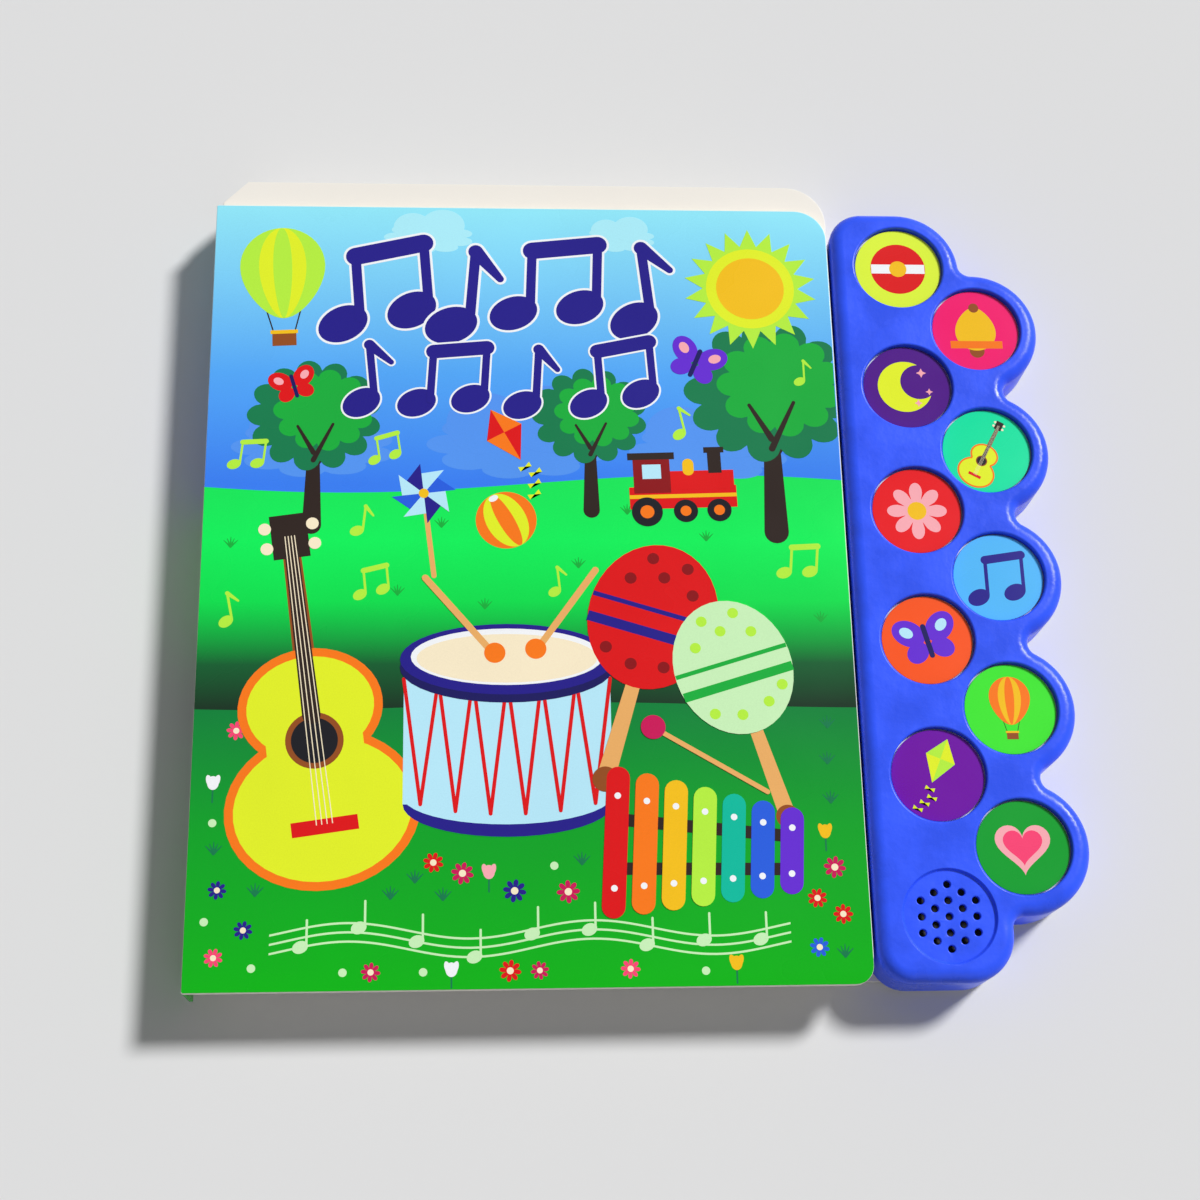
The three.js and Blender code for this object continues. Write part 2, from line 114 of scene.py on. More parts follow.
class SoundBookSizes(bpy.types.PropertyGroup):
    board_edge: length("Board edge", "Rounding of the cut board edges", 0.0003)
    leaf_edge: length("Leaf edge", "Rounding of each leaf's edge", 0.00025)
    leaf_shift: length("Leaf shift", "How far a leaf may lie out of line with the rest", 0.00015)
    shell_edge: length("Shell edge", "Rounding of the module's upper edge", 0.0034)
    shell_wall: length("Shell wall", "Wall of the module's upper shell", 0.002)
    hole_radius: length("Hole radius", "Radius of a button hole", 0.01317)
    rim_width: length("Rim width", "Soft rim round each button hole", 0.00055)
    dish_radius: length("Dish radius", "Radius of the speaker's dished recess", 0.013)
    dish_depth: length("Dish depth", "Depth of the speaker's dished recess", 0.001)
    cap_edge: length("Cap edge", "Rounding of a button cap's edge", 0.0003)
    ink: length("Ink", "Thickness of the lowest printed layer", 0.00001)
    ink_step: length("Ink step", "How much each further printed layer stands above the last", 0.000006)
    camera_place: bpy.props.FloatVectorProperty(
        name="Camera place", description="Where the camera stands", unit="LENGTH", size=3,
        default=(-0.0452, -0.1930, 0.5376))
    camera_turn: bpy.props.FloatVectorProperty(
        name="Camera turn", description="How the camera is turned, about X, Y and Z", unit="ROTATION", size=3,
        default=(0.3335, -0.0627, -0.0015))
    camera_lens: bpy.props.FloatProperty(
        name="Camera lens", description="Focal length in millimetres", default=59.8, min=1)


class SoundBookColours(bpy.types.PropertyGroup):
    shell: colour("Shell", "Blue plastic of the sound module", srgb(50, 90, 255))
    cap: colour("Cap", "Plastic of the button caps", srgb(233, 237, 245))
    leaf: colour("Leaf", "Face of the board leaves", srgb(243, 238, 229))
    raw_board: colour("Raw board", "Cut edge of the boards", srgb(236, 232, 222))
    sky_high: colour("High sky", "Sky at the head of the cover", srgb(150, 238, 255))
    sky_low: colour("Low sky", "Sky at the horizon", srgb(58, 128, 246))
    meadow_far: colour("Far meadow", "Bright meadow at the horizon", srgb(20, 232, 90))
    meadow_dark: colour("Dark meadow", "Shade where the far meadow meets the near one", srgb(10, 46, 24))
    meadow_near: colour("Near meadow", "Meadow at the foot of the cover", srgb(0, 182, 12))
    back: colour("Back", "Print of the back cover", srgb(58, 160, 232))
    floor: colour("Floor", "Floor under the book", (0.78, 0.78, 0.78))


def sizes():
    return bpy.context.scene.sound_book_sizes


def colours():
    return bpy.context.scene.sound_book_colours


# Selecting and shaping

def select_all_of(objects):
    """Selects these objects and no others, with the first one active."""
    bpy.ops.object.select_all(action="DESELECT")
    for obj in objects:
        obj.select_set(True)
    bpy.context.view_layer.objects.active = objects[0]


def only(obj):
    select_all_of([obj])


def edit_selected(obj, part, chosen):
    """Opens edit mode with only the vertices or faces selected that pass the test."""
    only(obj)
    bpy.ops.object.mode_set(mode="EDIT")
    bpy.ops.mesh.select_mode(type=part)
    bpy.ops.mesh.select_all(action="DESELECT")
    bpy.ops.object.mode_set(mode="OBJECT")
    for element in obj.data.vertices if part == "VERT" else obj.data.polygons:
        element.select = chosen(element)
    bpy.ops.object.mode_set(mode="EDIT")


def select_top(obj):
    edit_selected(obj, "FACE", lambda face: face.normal.z > FLAT)


def extrude_up(height):
    bpy.ops.mesh.extrude_region_move(TRANSFORM_OT_translate={"value": (0, 0, height)})


def leave_edit():
    bpy.ops.object.mode_set(mode="OBJECT")


def finish_primitive(name):
    """Names the primitive just added and puts its place and size into its mesh."""
    obj = bpy.context.object
    obj.name = name
    obj.data.name = name
    bpy.ops.object.transform_apply(location=True, rotation=True, scale=True)
    return obj


def block_solid(name, low, high):
    low, high = Vector(low), Vector(high)
    bpy.ops.object.select_all(action="DESELECT")
    bpy.ops.mesh.primitive_cube_add(size=1, location=(low + high) / 2, scale=high - low)
    return finish_primitive(name)


def round_solid(name, centre, radius, low, high, sides=72):
    bpy.ops.object.select_all(action="DESELECT")
    bpy.ops.mesh.primitive_cylinder_add(
        vertices=sides, radius=radius, depth=high - low, location=(centre.x, centre.y, (low + high) / 2))
    return finish_primitive(name)


def copy_moved(model, name, offset):
    """A copy of a finished model with its own mesh, moved by offset."""
    only(model)
    bpy.ops.object.duplicate()
    bpy.context.object.location = offset
    return finish_primitive(name)


def turn_corner(obj, x, y, radius, segments=14):
    """Rounds the upright edge at a corner of the plan, or cuts it off where there is one segment."""
    edit_selected(obj, "VERT", lambda vertex: math.dist(vertex.co[:2], (x, y)) < NEAREST)
    bpy.ops.mesh.bevel(offset=radius, segments=segments, affect="EDGES")
    leave_edit()


def board_solid(name, low, high, head_corner, foot_corner, chamfer=0.0):
    """A board that is square at the spine and round at the fore-edge; its head corner may be cut off."""
    obj = block_solid(name, low, high)
    turn_corner(obj, high.x, low.y, foot_corner)
    turn_corner(obj, high.x, high.y, head_corner)
    if chamfer:
        turn_corner(obj, low.x, high.y, chamfer, 1)
    return obj


def outline_solid(name, points, low, high):
    """A solid whose plan is the closed outline, between two heights."""
    bpy.ops.object.select_all(action="DESELECT")
    bpy.ops.mesh.primitive_circle_add(vertices=len(points), fill_type="NGON")
    obj = finish_primitive(name)
    for vertex, (x, y) in zip(obj.data.vertices, points):
        vertex.co = (x, y, low)
    bpy.ops.object.mode_set(mode="EDIT")
    bpy.ops.mesh.select_all(action="SELECT")
    extrude_up(high - low)
    bpy.ops.mesh.select_all(action="SELECT")
    bpy.ops.mesh.normals_make_consistent(inside=False)
    leave_edit()
    return obj


def quarter_turn(steps):
    return [math.pi / 2 * step / steps for step in range(steps + 1)]


def raise_rings(obj, centre, rings):
    """Carries a round solid's top up through rings, each a radius and a height, from the one it has."""
    select_top(obj)
    for (radius, height), (next_radius, next_height) in zip(rings, rings[1:]):
        extrude_up(next_height - height)
        ratio = next_radius / radius
        bpy.ops.transform.resize(value=(ratio, ratio, 1), center_override=centre)
    leave_edit()


def raise_rounded(obj, radius, steps):
    """Carries the top face up and inwards along a quarter round, and ends it with a flat support ring."""
    select_top(obj)
    turns = quarter_turn(steps)
    for start, end in zip(turns, turns[1:]):
        bpy.ops.mesh.inset(
            thickness=radius * (math.cos(start) - math.cos(end)),
            depth=radius * (math.sin(end) - math.sin(start)), use_even_offset=True)
    support_share = 0.1
    bpy.ops.mesh.inset(thickness=radius * support_share, depth=0, use_even_offset=True)
    leave_edit()


def modify(obj, kind, **settings):
    """Adds a modifier with these settings and applies it."""
    only(obj)
    bpy.ops.object.modifier_add(type=kind)
    modifier = obj.modifiers[-1]
    for key, value in settings.items():
        setattr(modifier, key, value)
    bpy.ops.object.modifier_apply(modifier=modifier.name)


def bevel(obj, width):
    modify(obj, "BEVEL", width=width, segments=2, limit_method="ANGLE", angle_limit=math.radians(50))


def combine(obj, other, operation):
    """Joins or cuts obj with the other solid, which is used up."""
    modify(obj, "BOOLEAN", operation=operation, solver="MANIFOLD", object=other)
    bpy.data.objects.remove(other, do_unlink=True)


def merge(name, objects):
    """Makes one object of several."""
    select_all_of(objects)
    if len(objects) > 1:
        bpy.ops.object.join()
    joined = bpy.context.view_layer.objects.active
    joined.name = name
    joined.data.name = name
    return joined


def smooth(obj, degrees=28):
    """Smooth shading in which the large flat faces decide the normals and so stay flat up to their edges."""
    only(obj)
    bpy.ops.object.shade_smooth_by_angle(angle=math.radians(degrees))
    modify(obj, "TRIANGULATE")
    modify(obj, "WEIGHTED_NORMAL", keep_sharp=True, weight=100)


# Outlines

def arc(centre_x, centre_y, radius, start, end, step=0.05):
    count = max(2, round(abs(end - start) / step))
    angles = [start + (end - start) * i / count for i in range(count + 1)]
    return [(centre_x + radius * math.cos(a), centre_y + radius * math.sin(a)) for a in angles]


def without_doubles(points):
    following = points[1:] + points[:1]
    return [here for here, after in zip(points, following) if math.dist(here, after) > NEAREST]


LOBE_RADIUS = SHELL_HIGH.x - BUTTONS[2].x
NOTCH_RADIUS = 3.5 * MM
LEFT_CORNER = 9.5 * MM
FOOT_CORNER = 13 * MM
INNER_CORNER = 3 * MM
SPEAKER_SIDE = SPEAKER.y - SHELL_LOW.y


def module_outline(inset):
    """The module's scalloped outline, clockwise from the left wall, moved inwards by inset."""
    lobe = LOBE_RADIUS - inset
    notch = NOTCH_RADIUS + inset
    corner = LEFT_CORNER - inset
    left, head, foot = SHELL_LOW.x + inset, SHELL_HIGH.y - inset, SHELL_LOW.y + inset
    lobes = [BUTTONS[1]] + [BUTTONS[number] for number in BUTTON_NUMBERS if number % 2 == 0]
    points = arc(left + corner, head - corner, corner, math.pi, math.pi / 2)
    start = math.pi / 2
    for here, following in zip(lobes, lobes[1:]):
        half = (following - here).xy / 2
        outward = Vector((-half.y, half.x)).normalized()
        fillet = here.xy + half + outward * math.sqrt((lobe + notch) ** 2 - half.length_squared)
        out = math.atan2(fillet.y - here.y, fillet.x - here.x)
        back = math.atan2(fillet.y - following.y, fillet.x - following.x)
        points += arc(here.x, here.y, lobe, start, out)
        points += arc(fillet.x, fillet.y, notch, out + math.pi, back + math.pi, 0.1)
        start = back
    last = lobes[-1]
    wall = SPEAKER.x + SPEAKER_SIDE - inset
    inner = INNER_CORNER + inset
    inner_x = wall + inner
    inner_y = last.y - math.sqrt((lobe + inner) ** 2 - (inner_x - last.x) ** 2)
    turn = math.atan2(inner_y - last.y, inner_x - last.x)
    points += arc(last.x, last.y, lobe, start, turn)
    points += arc(inner_x, inner_y, inner, turn + math.pi, math.pi, 0.1)
    foot_corner = FOOT_CORNER - inset
    points += arc(wall - foot_corner, foot + foot_corner, foot_corner, 0, -math.pi / 2)
    points += arc(left + corner, foot + corner, corner, -math.pi / 2, -math.pi)
    return without_doubles(points)


# Shading nodes

def add_node(tree, kind, *values, **settings):
    """Adds a shader node. Each value feeds the next input: a socket is linked, and None leaves it alone."""
    made = tree.nodes.new(f"ShaderNode{kind}")
    for key, value in settings.items():
        setattr(made, key, value)
    for socket, value in zip(made.inputs, values):
        if isinstance(value, bpy.types.NodeSocket):
            tree.links.new(value, socket)
        elif value is not None:
            socket.default_value = value
    return made


def calculate(tree, operation, *values):
    return add_node(tree, "Math", *values, operation=operation).outputs[0]


def noise(tree, vector, scale, detail):
    return add_node(tree, "TexNoise", vector, None, scale, detail).outputs["Fac"]


def map_range(tree, value, low, high, to_low, to_high):
    return add_node(tree, "MapRange", value, low, high, to_low, to_high).outputs["Result"]


def mix_colour(tree, factor, first, second):
    unused = (None,) * 5
    return add_node(tree, "Mix", factor, *unused, first, second, data_type="RGBA").outputs[2]


def object_place(tree):
    return add_node(tree, "TexCoord").outputs["Object"]


def coordinate(tree, axis):
    return add_node(tree, "SeparateXYZ", object_place(tree)).outputs[axis]


def printed_surface(tree):
    """Ink on laminated board: faint dots of the press, soft patches, and a little unevenness in the gloss."""
    place = object_place(tree)
    patches = noise(tree, place, 28, 3)
    both = calculate(tree, "ADD", noise(tree, place, 2600, 1), patches)
    return (
        map_range(tree, both, 0.6, 1.4, -1, 1), map_range(tree, patches, 0.3, 0.7, -0.05, 0.05),
        noise(tree, place, 140, 4))


def moulded_plastic(tree):
    """Moulded plastic: slight cloudiness of colour and the faint orange peel of the mould."""
    place = object_place(tree)
    cloud = noise(tree, place, 95, 5)
    return (
        map_range(tree, cloud, 0.35, 0.65, -1, 1), map_range(tree, cloud, 0.3, 0.7, -0.06, 0.08),
        noise(tree, place, 420, 4))


def board_fibre(tree):
    """Cut board: fibres that lie along the sheet, and thin lines between its plies."""
    stretched = add_node(tree, "Mapping", object_place(tree), None, None, (1, 1, 14)).outputs[0]
    fibres = noise(tree, stretched, 420, 6)
    return map_range(tree, fibres, 0.35, 0.65, -1, 1), 0.0, fibres


# Each group's inputs for the strength of its shading and for its roughness, and what gives the shading
GROUPS = {
    "Printed Surface": (("Grain", 0.06), ("Gloss", 0.28), printed_surface),
    "Moulded Plastic": (("Cloud", 0.08), ("Roughness", 0.3), moulded_plastic),
    "Board Fibre": (("Depth", 0.1), ("Roughness", 0.9), board_fibre),
}


def shared_group(name):
    """The node group of that name, which shades a colour and gives a roughness and a height."""
    group = bpy.data.node_groups.get(name)
    if group:
        return group
    strength, roughness, surface = GROUPS[name]
    group = bpy.data.node_groups.new(name, "ShaderNodeTree")
    for in_out in ("INPUT", "OUTPUT"):
        group.interface.new_socket(name="Color", in_out=in_out, socket_type="NodeSocketColor")
    for label, default in (strength, roughness):
        socket = group.interface.new_socket(name=label, in_out="INPUT", socket_type="NodeSocketFloat")
        socket.default_value = default
    for label in ("Roughness", "Height"):
        group.interface.new_socket(name=label, in_out="OUTPUT", socket_type="NodeSocketFloat")
    enter, leave = group.nodes.new("NodeGroupInput"), group.nodes.new("NodeGroupOutput")
    shade, unevenness, height = surface(group)
    amount = calculate(group, "MULTIPLY_ADD", shade, enter.outputs[strength[0]], 1)
    tinted = add_node(group, "VectorMath", enter.outputs["Color"], None, None, amount, operation="SCALE")
    rough = calculate(group, "ADD", unevenness, enter.outputs[roughness[0]])
    for value, label in ((tinted.outputs[0], "Color"), (rough, "Roughness"), (height, "Height")):
        group.links.new(value, leave.inputs[label])
    return group


# Materials

SPECULAR_LEVEL = 0.22
BUMP_STRENGTH = 0.6


def grouped_material(name, group_name, colour_source, bump, **values):
    """A new material whose Principled BSDF takes its colour, roughness and bump from one of the groups.

    colour_source is a colour, or a function of the node tree that gives a colour socket.
    """
    material = bpy.data.materials.new(name)
    material.use_nodes = True
    tree = material.node_tree
    shader = tree.nodes["Principled BSDF"]
    shader.inputs["Specular IOR Level"].default_value = SPECULAR_LEVEL
    group = tree.nodes.new("ShaderNodeGroup")
    group.node_tree = shared_group(group_name)
    if callable(colour_source):
        tree.links.new(colour_source(tree), group.inputs["Color"])
    else:
        group.inputs["Color"].default_value = (*colour_source[:3], 1)
    for key, value in values.items():
        label = key.title()
        target = group.inputs.get(label) or shader.inputs[label]
        target.default_value = value
    relief = tree.nodes.new("ShaderNodeBump")
    relief.inputs["Distance"].default_value = bump
    relief.inputs["Strength"].default_value = BUMP_STRENGTH
    tree.links.new(group.outputs["Color"], shader.inputs["Base Color"])
    tree.links.new(group.outputs["Roughness"], shader.inputs["Roughness"])
    tree.links.new(group.outputs["Height"], relief.inputs["Height"])
    tree.links.new(relief.outputs["Normal"], shader.inputs["Normal"])
    return material


def cover_y(millimetres):
    return COVER_LOW.y + millimetres * MM


def ramp(tree, up, *stops):
    """Colours by height on the cover: stops are pairs of a height in millimetres and a colour, rising."""
    first, last = cover_y(stops[0][0]), cover_y(stops[-1][0])
    colour_ramp = add_node(tree, "ValToRGB", map_range(tree, up, first, last, 0, 1))
    elements = colour_ramp.color_ramp.elements
    while len(elements) < len(stops):
        elements.new(0.5)
    for element, (height, tint) in zip(elements, stops):
        element.position = (cover_y(height) - first) / (last - first)
        element.color = (*tint[:3], 1)
    return colour_ramp.outputs["Color"]


def below_wave(tree, across, up, level, height, wave_length, phase):
    """1 where the place is under a wavy line."""
    turn = calculate(tree, "MULTIPLY_ADD", across, 2 * math.pi / wave_length, phase)
    line = calculate(tree, "MULTIPLY_ADD", calculate(tree, "SINE", turn), height, level)
    return calculate(tree, "LESS_THAN", up, line)


HORIZON = 141
MEADOW_EDGE = 76


def landscape(tree):
    """Sky, far meadow and near meadow, one above another."""
    look = colours()
    across, up = coordinate(tree, "X"), coordinate(tree, "Y")
    sky = ramp(tree, up, (HORIZON, look.sky_low), (175, srgb(84, 170, 252)), (229, look.sky_high))
    far = ramp(
        tree, up, (MEADOW_EDGE, look.meadow_dark), (88, srgb(8, 92, 44)), (106, srgb(0, 226, 78)),
        (124, srgb(6, 246, 92)), (146, look.meadow_far))
    near = ramp(tree, up, (0, look.meadow_near), (42, srgb(0, 164, 36)), (80, srgb(0, 124, 58)))
    hill = below_wave(tree, across, up, cover_y(HORIZON), 2.8 * MM, 0.21, 0.9)
    edge = below_wave(tree, across, up, cover_y(MEADOW_EDGE), 0.9 * MM, 0.16, 2.2)
    return mix_colour(tree, edge, mix_colour(tree, hill, sky, far), near)


INKS = {
    "cloud": srgb(176, 242, 255), "bank": srgb(86, 152, 246), "white": srgb(250, 252, 255),
    "navy": srgb(34, 24, 138), "navy_deep": srgb(20, 16, 92), "yellow": srgb(232, 246, 40),
    "lime": srgb(186, 244, 66), "orange": srgb(255, 124, 24), "red": srgb(226, 16, 20),
    "dark_red": srgb(140, 8, 16), "pink": srgb(255, 70, 120), "pale_pink": srgb(255, 176, 184),
    "pale_blue": srgb(188, 238, 255), "mid_blue": srgb(40, 96, 226), "purple": srgb(104, 44, 214),
    "leaf_green": srgb(20, 176, 60), "deep_green": srgb(14, 124, 76), "bark": srgb(40, 26, 20),
    "brown": srgb(150, 78, 30), "tan": srgb(240, 178, 104), "cream": srgb(255, 240, 206),
    "pale_lime": srgb(206, 246, 190), "black": srgb(18, 18, 26), "teal": srgb(0, 190, 160),
    "berry": srgb(206, 20, 90), "gold": srgb(250, 196, 24),
}


def ink(key):
    name = f"ink_{key}"
    return bpy.data.materials.get(name) or grouped_material(
        name, "Printed Surface", INKS[key], bump=0.00003, grain=0.04, gloss=0.27)


# Flat shapes for the print, in millimetres

def turned(points, x, y, turn=0.0, scale=1.0):
    """The points scaled and turned about their origin, then moved."""
    along, across = scale * math.cos(turn), scale * math.sin(turn)
    return [(x + u * along - v * across, y + u * across + v * along) for u, v in points]


def full_turn(count):
    return [2 * math.pi * i / count for i in range(count)]


def around(x, y, radius_x, radius_y, reaches):
    """A round whose reach, as a share of its radii, is given all the way round."""
    return [
        (x + radius_x * reach * math.cos(a), y + radius_y * reach * math.sin(a))
        for a, reach in zip(full_turn(len(reaches)), reaches)]


def ellipse(x, y, radius_x, radius_y=None, turn=0.0, count=40):
    return turned(around(0, 0, radius_x, radius_y or radius_x, [1] * count), x, y, turn)


def scalloped(x, y, radius_x, radius_y, bumps):
    """A leafy or cloudy round with bumps standing out of it."""
    return around(x, y, radius_x, radius_y, [
        0.9 + 0.2 * abs(math.sin(bumps * a / 2)) ** 0.7 for a in full_turn(bumps * 10)])


def petals(radius, count):
    return around(0, 0, radius, radius, [
        0.42 + 0.58 * abs(math.cos(count * a / 2)) ** 0.6 for a in full_turn(count * 12)])


def star(x, y, radius, inner, count):
    return turned(around(0, 0, 1, 1, [radius, inner] * count), x, y, math.pi / 2)


def bar(x0, y0, x1, y1, width, end_width=None):
    """A straight bar with round ends, which may taper."""
    lean = math.atan2(y1 - y0, x1 - x0)
    start = arc(x0, y0, width / 2, lean + math.pi / 2, lean + 3 * math.pi / 2, 0.3)
    return start + arc(x1, y1, (end_width or width) / 2, lean - math.pi / 2, lean + math.pi / 2, 0.3)


def block(x, y, width, height):
    return [(x + i * width / 2, y + j * height / 2) for i, j in ((-1, -1), (1, -1), (1, 1), (-1, 1))]


def heart(x, y, size):
    points = []
    for a in full_turn(48):
        u = 16 * math.sin(a) ** 3
        v = 13 * math.cos(a) - 5 * math.cos(2 * a) - 2 * math.cos(3 * a) - math.cos(4 * a)
        points.append((u, v))
    return turned(points, x, y, 0, size / 16)


def crescent(x, y, radius, bite, turn):
    outer = arc(x, y, radius, turn + 0.7, turn + 2 * math.pi - 0.7, 0.12)
    centre_x, centre_y = x + bite * radius * math.cos(turn), y + bite * radius * math.sin(turn)
    first, last = (math.atan2(v - centre_y, u - centre_x) for u, v in (outer[-1], outer[0]))
    reach = math.dist((centre_x, centre_y), outer[0])
    if first < last:
        first += 2 * math.pi
    return outer + arc(centre_x, centre_y, reach, first, last, 0.12)[1:-1]


def drop(x, y, width, height, turn=0.0):
    """Round above and pointed below, as a balloon is."""
    points = []
    for a in full_turn(44):
        narrowing = 1 - 0.34 * ((1 - math.cos(a)) / 2) ** 2
        points.append((width / 2 * math.sin(a) * narrowing, height / 2 * math.cos(a)))
    return turned(points, x, y, turn)


# Motifs: lists of an outline and its ink, the lowest first

def note_single(tint="lime", edge=None, bold=1.0):
    shapes = [
        (ellipse(-1.4, -4.2, 2.5 * bold, 1.8 * bold, 0.45), tint),
        (bar(0.6, -3.6, 0.6, 5.2, 0.8 * bold ** 2), tint),
        (bar(0.6, 5.2, 3.6, 2.0, 1.4 * bold, 0.7 * bold), tint),
    ]
    return outlined(shapes, edge)


def note_pair(tint="lime", edge=None, bold=1.0):
    shapes = [
        (ellipse(-4.6, -4.6, 2.5 * bold, 1.8 * bold, 0.45), tint),
        (ellipse(3.4, -3.4, 2.5 * bold, 1.8 * bold, 0.45), tint),
        (bar(-2.6, -4.0, -2.6, 4.0, 0.8 * bold ** 2), tint),
        (bar(5.4, -2.8, 5.4, 5.2, 0.8 * bold ** 2), tint),
        (bar(-2.6, 4.0, 5.4, 5.2, 1.9 * bold), tint),
    ]
    return outlined(shapes, edge)


def grown(points, amount):
    """The outline moved outwards, for a border; the shapes it is used on are nearly round or straight."""
    rings = list(zip(points[-1:] + points, points, points[1:] + points[:1]))
    area = sum(here[0] * after[1] - after[0] * here[1] for _, here, after in rings)
    moved = []
    for before, here, after in rings:
        run_x, run_y = after[0] - before[0], after[1] - before[1]
        reach = math.copysign(amount, area) / (math.hypot(run_x, run_y) or 1)
        moved.append((here[0] + run_y * reach, here[1] - run_x * reach))
    return moved


def outlined(shapes, edge):
    """Adds a border under the shapes; edge is its ink and width, or None."""
    if not edge:
        return shapes
    tint, width = edge
    return [(grown(points, width), tint) for points, _ in shapes] + shapes


def cloud(tint="cloud"):
    return [(scalloped(0, 0, 15, 6, 9), tint), (ellipse(-6, 4, 7, 6), tint), (ellipse(5, 5, 8, 6.5), tint)]


def broad_tree():
    return [
        (bar(0, -17, 0, 2, 4.6, 3.0), "bark"), (bar(0, -4, -6, 6, 1.8, 1.0), "bark"),
        (bar(0, -2, 6, 7, 1.8, 1.0), "bark"), (scalloped(0, 12, 15, 13.5, 13), "deep_green"),
        (scalloped(2.2, 13.4, 11.2, 10, 11), "leaf_green"), (bar(0, 2, -4, 9, 1.3, 0.7), "bark"),
        (bar(0, 0, 4.6, 9.6, 1.3, 0.7), "bark"),
    ]


def flower(petal_ink, heart_ink, radius=3.0):
    return [(petals(radius, 8), petal_ink), (ellipse(0, 0, radius * 0.32, count=16), heart_ink)]


def tulip(petal_ink):
    return [
        (bar(0, -4.6, 0, 0, 0.5), "deep_green"), (ellipse(0, 1.2, 1.7, 2.1, count=20), petal_ink),
        (ellipse(-1.1, 1.8, 0.9, 1.9, 0.3, 16), petal_ink),
        (ellipse(1.1, 1.8, 0.9, 1.9, -0.3, 16), petal_ink),
    ]


def balloon(body_ink, stripe_ink):
    return [
        (bar(-3.2, -15, -5.6, -6, 0.4), "bark"), (bar(3.2, -15, 5.6, -6, 0.4), "bark"),
        (drop(0, 4, 27, 30), body_ink), (drop(0, 4, 15, 30), stripe_ink), (drop(0, 4, 6, 30), body_ink),
        (block(0, -17.4, 7, 5), "brown"), (block(0, -15.4, 8, 1.2), "gold"),
    ]


def sun():
    return [(star(0, 0, 19.5, 14, 18), "lime"), (ellipse(0, 0, 13), "yellow"), (ellipse(0, 0, 10), "gold")]


def kite(first="red", second="orange"):
    shapes = [
        ([(0, 11), (7, 1), (0, -11), (-7, 1)], first), ([(0, 11), (7, 1), (0, 1)], second),
        ([(0, -11), (-7, 1), (0, 1)], second),
    ]
    for i in range(4):
        x, y = 2.2 * math.sin(i * 1.6), -14 - i * 3.6
        shapes.append(([(x - 2.2, y - 1), (x - 2.2, y + 1), (x + 2.2, y - 1), (x + 2.2, y + 1)], "yellow"))
    return shapes


def ukulele():
    shapes = [
        (bar(0, 8, 0, 50, 5.4, 4.2), "brown"), (block(0, 54, 8.6, 11), "bark"),
        (ellipse(0, -12, 22, 18.5), "orange"), (ellipse(0, 12, 16.5, 14), "orange"),
        (ellipse(0, -12, 20, 16.5), "yellow"), (ellipse(0, 12, 14.5, 12), "yellow"),
        (block(0, 2, 22, 16), "yellow"), (ellipse(0, 4, 6.6), "brown"), (ellipse(0, 4, 5.3), "black"),
        (block(0, -16, 15, 3.4), "red"), (bar(0, 10, 0, 50, 4.2, 3.2), "bark"),
    ]
    for i in range(4):
        x = -1.8 + 1.2 * i
        shapes.append((bar(x, -15.5, x * 0.62, 54, 0.22), "cream"))
    for side in (-1, 1):
        shapes += [(ellipse(side * 5.6, y, 1.5, count=16), "cream") for y in (51.5, 56.5)]
    return shapes


def drum():
    shapes = [
        (ellipse(0, -17, 25, 8), "navy"), (block(0, 0, 50, 34), "pale_blue"),
        (ellipse(0, -15, 25, 7), "pale_blue"),
    ]
    for i in range(6):
        x0 = -25 + i * 50 / 6
        middle, end = x0 + 25 / 6, x0 + 50 / 6
        dip = 5.5 * (1 - ((middle / 25) ** 2)) ** 0.5
        shapes.append((bar(x0, 14, middle, -14 - dip, 0.9), "red"))
        shapes.append((bar(middle, -14 - dip, end, 14, 0.9), "red"))
    shapes += [
        (ellipse(0, 17, 26, 9), "navy_deep"), (ellipse(0, 19, 26, 9), "navy"),
        (ellipse(0, 19.6, 23.4, 7.2), "white"), (ellipse(0, 19.2, 22, 6.2), "cream"),
        (bar(-20, 40, -3, 20, 1.7), "tan"), (ellipse(-3, 20.6, 2.6), "orange"),
        (bar(22, 42, 7, 21, 1.7), "tan"), (ellipse(7, 21.6, 2.6), "orange"),
    ]
    return shapes


def maraca(body_ink="red", band_ink="navy", dot_ink="dark_red"):
    shapes = [
        (bar(0, -36, 0, -8, 4.4, 3.4), "tan"), (ellipse(0, -36, 3.1), "brown"),
        (ellipse(0, 7, 16, 19), body_ink), (block(0, 2.6, 31, 2.6), band_ink),
        (block(0, 8.6, 31.6, 1.2), band_ink),
    ]
    dots = ((-8, 15), (0, 17.5), (8, 15), (-4, 21.6), (5, 21.4), (-9, -4), (-2, -6.4), (6, -5), (11, -1.6))
    return shapes + [(ellipse(x, y, 1.5, count=16), dot_ink) for x, y in dots]


def xylophone():
    bars = ("red", "orange", "gold", "lime", "teal", "mid_blue", "purple")
    shapes = [(bar(-22, 5.5, 22, 3.4, 3), "bark"), (bar(-22, -6.5, 22, -4.4, 3), "bark")]
    for i, tint in enumerate(bars):
        x = -21 + 7 * i
        tall = 31 - 2.6 * i
        shapes.append((bar(x, -tall / 2, x, tall / 2, 5.6), tint))
        shapes += [(ellipse(x, side * tall * 0.36, 0.8, count=14), "white") for side in (-1, 1)]
    shapes += [(bar(-12, 28, 15, 14, 1.2), "tan"), (ellipse(-13, 28.6, 3), "berry")]
    return shapes


def ball():
    return [
        (ellipse(0, 0, 8.5), "orange"), (ellipse(0, 0, 5.6, 8.5), "yellow"),
        (ellipse(0, 0, 2.2, 8.5), "orange"), (ellipse(0, 7.4, 1.4, 0.9, count=16), "white"),
    ]


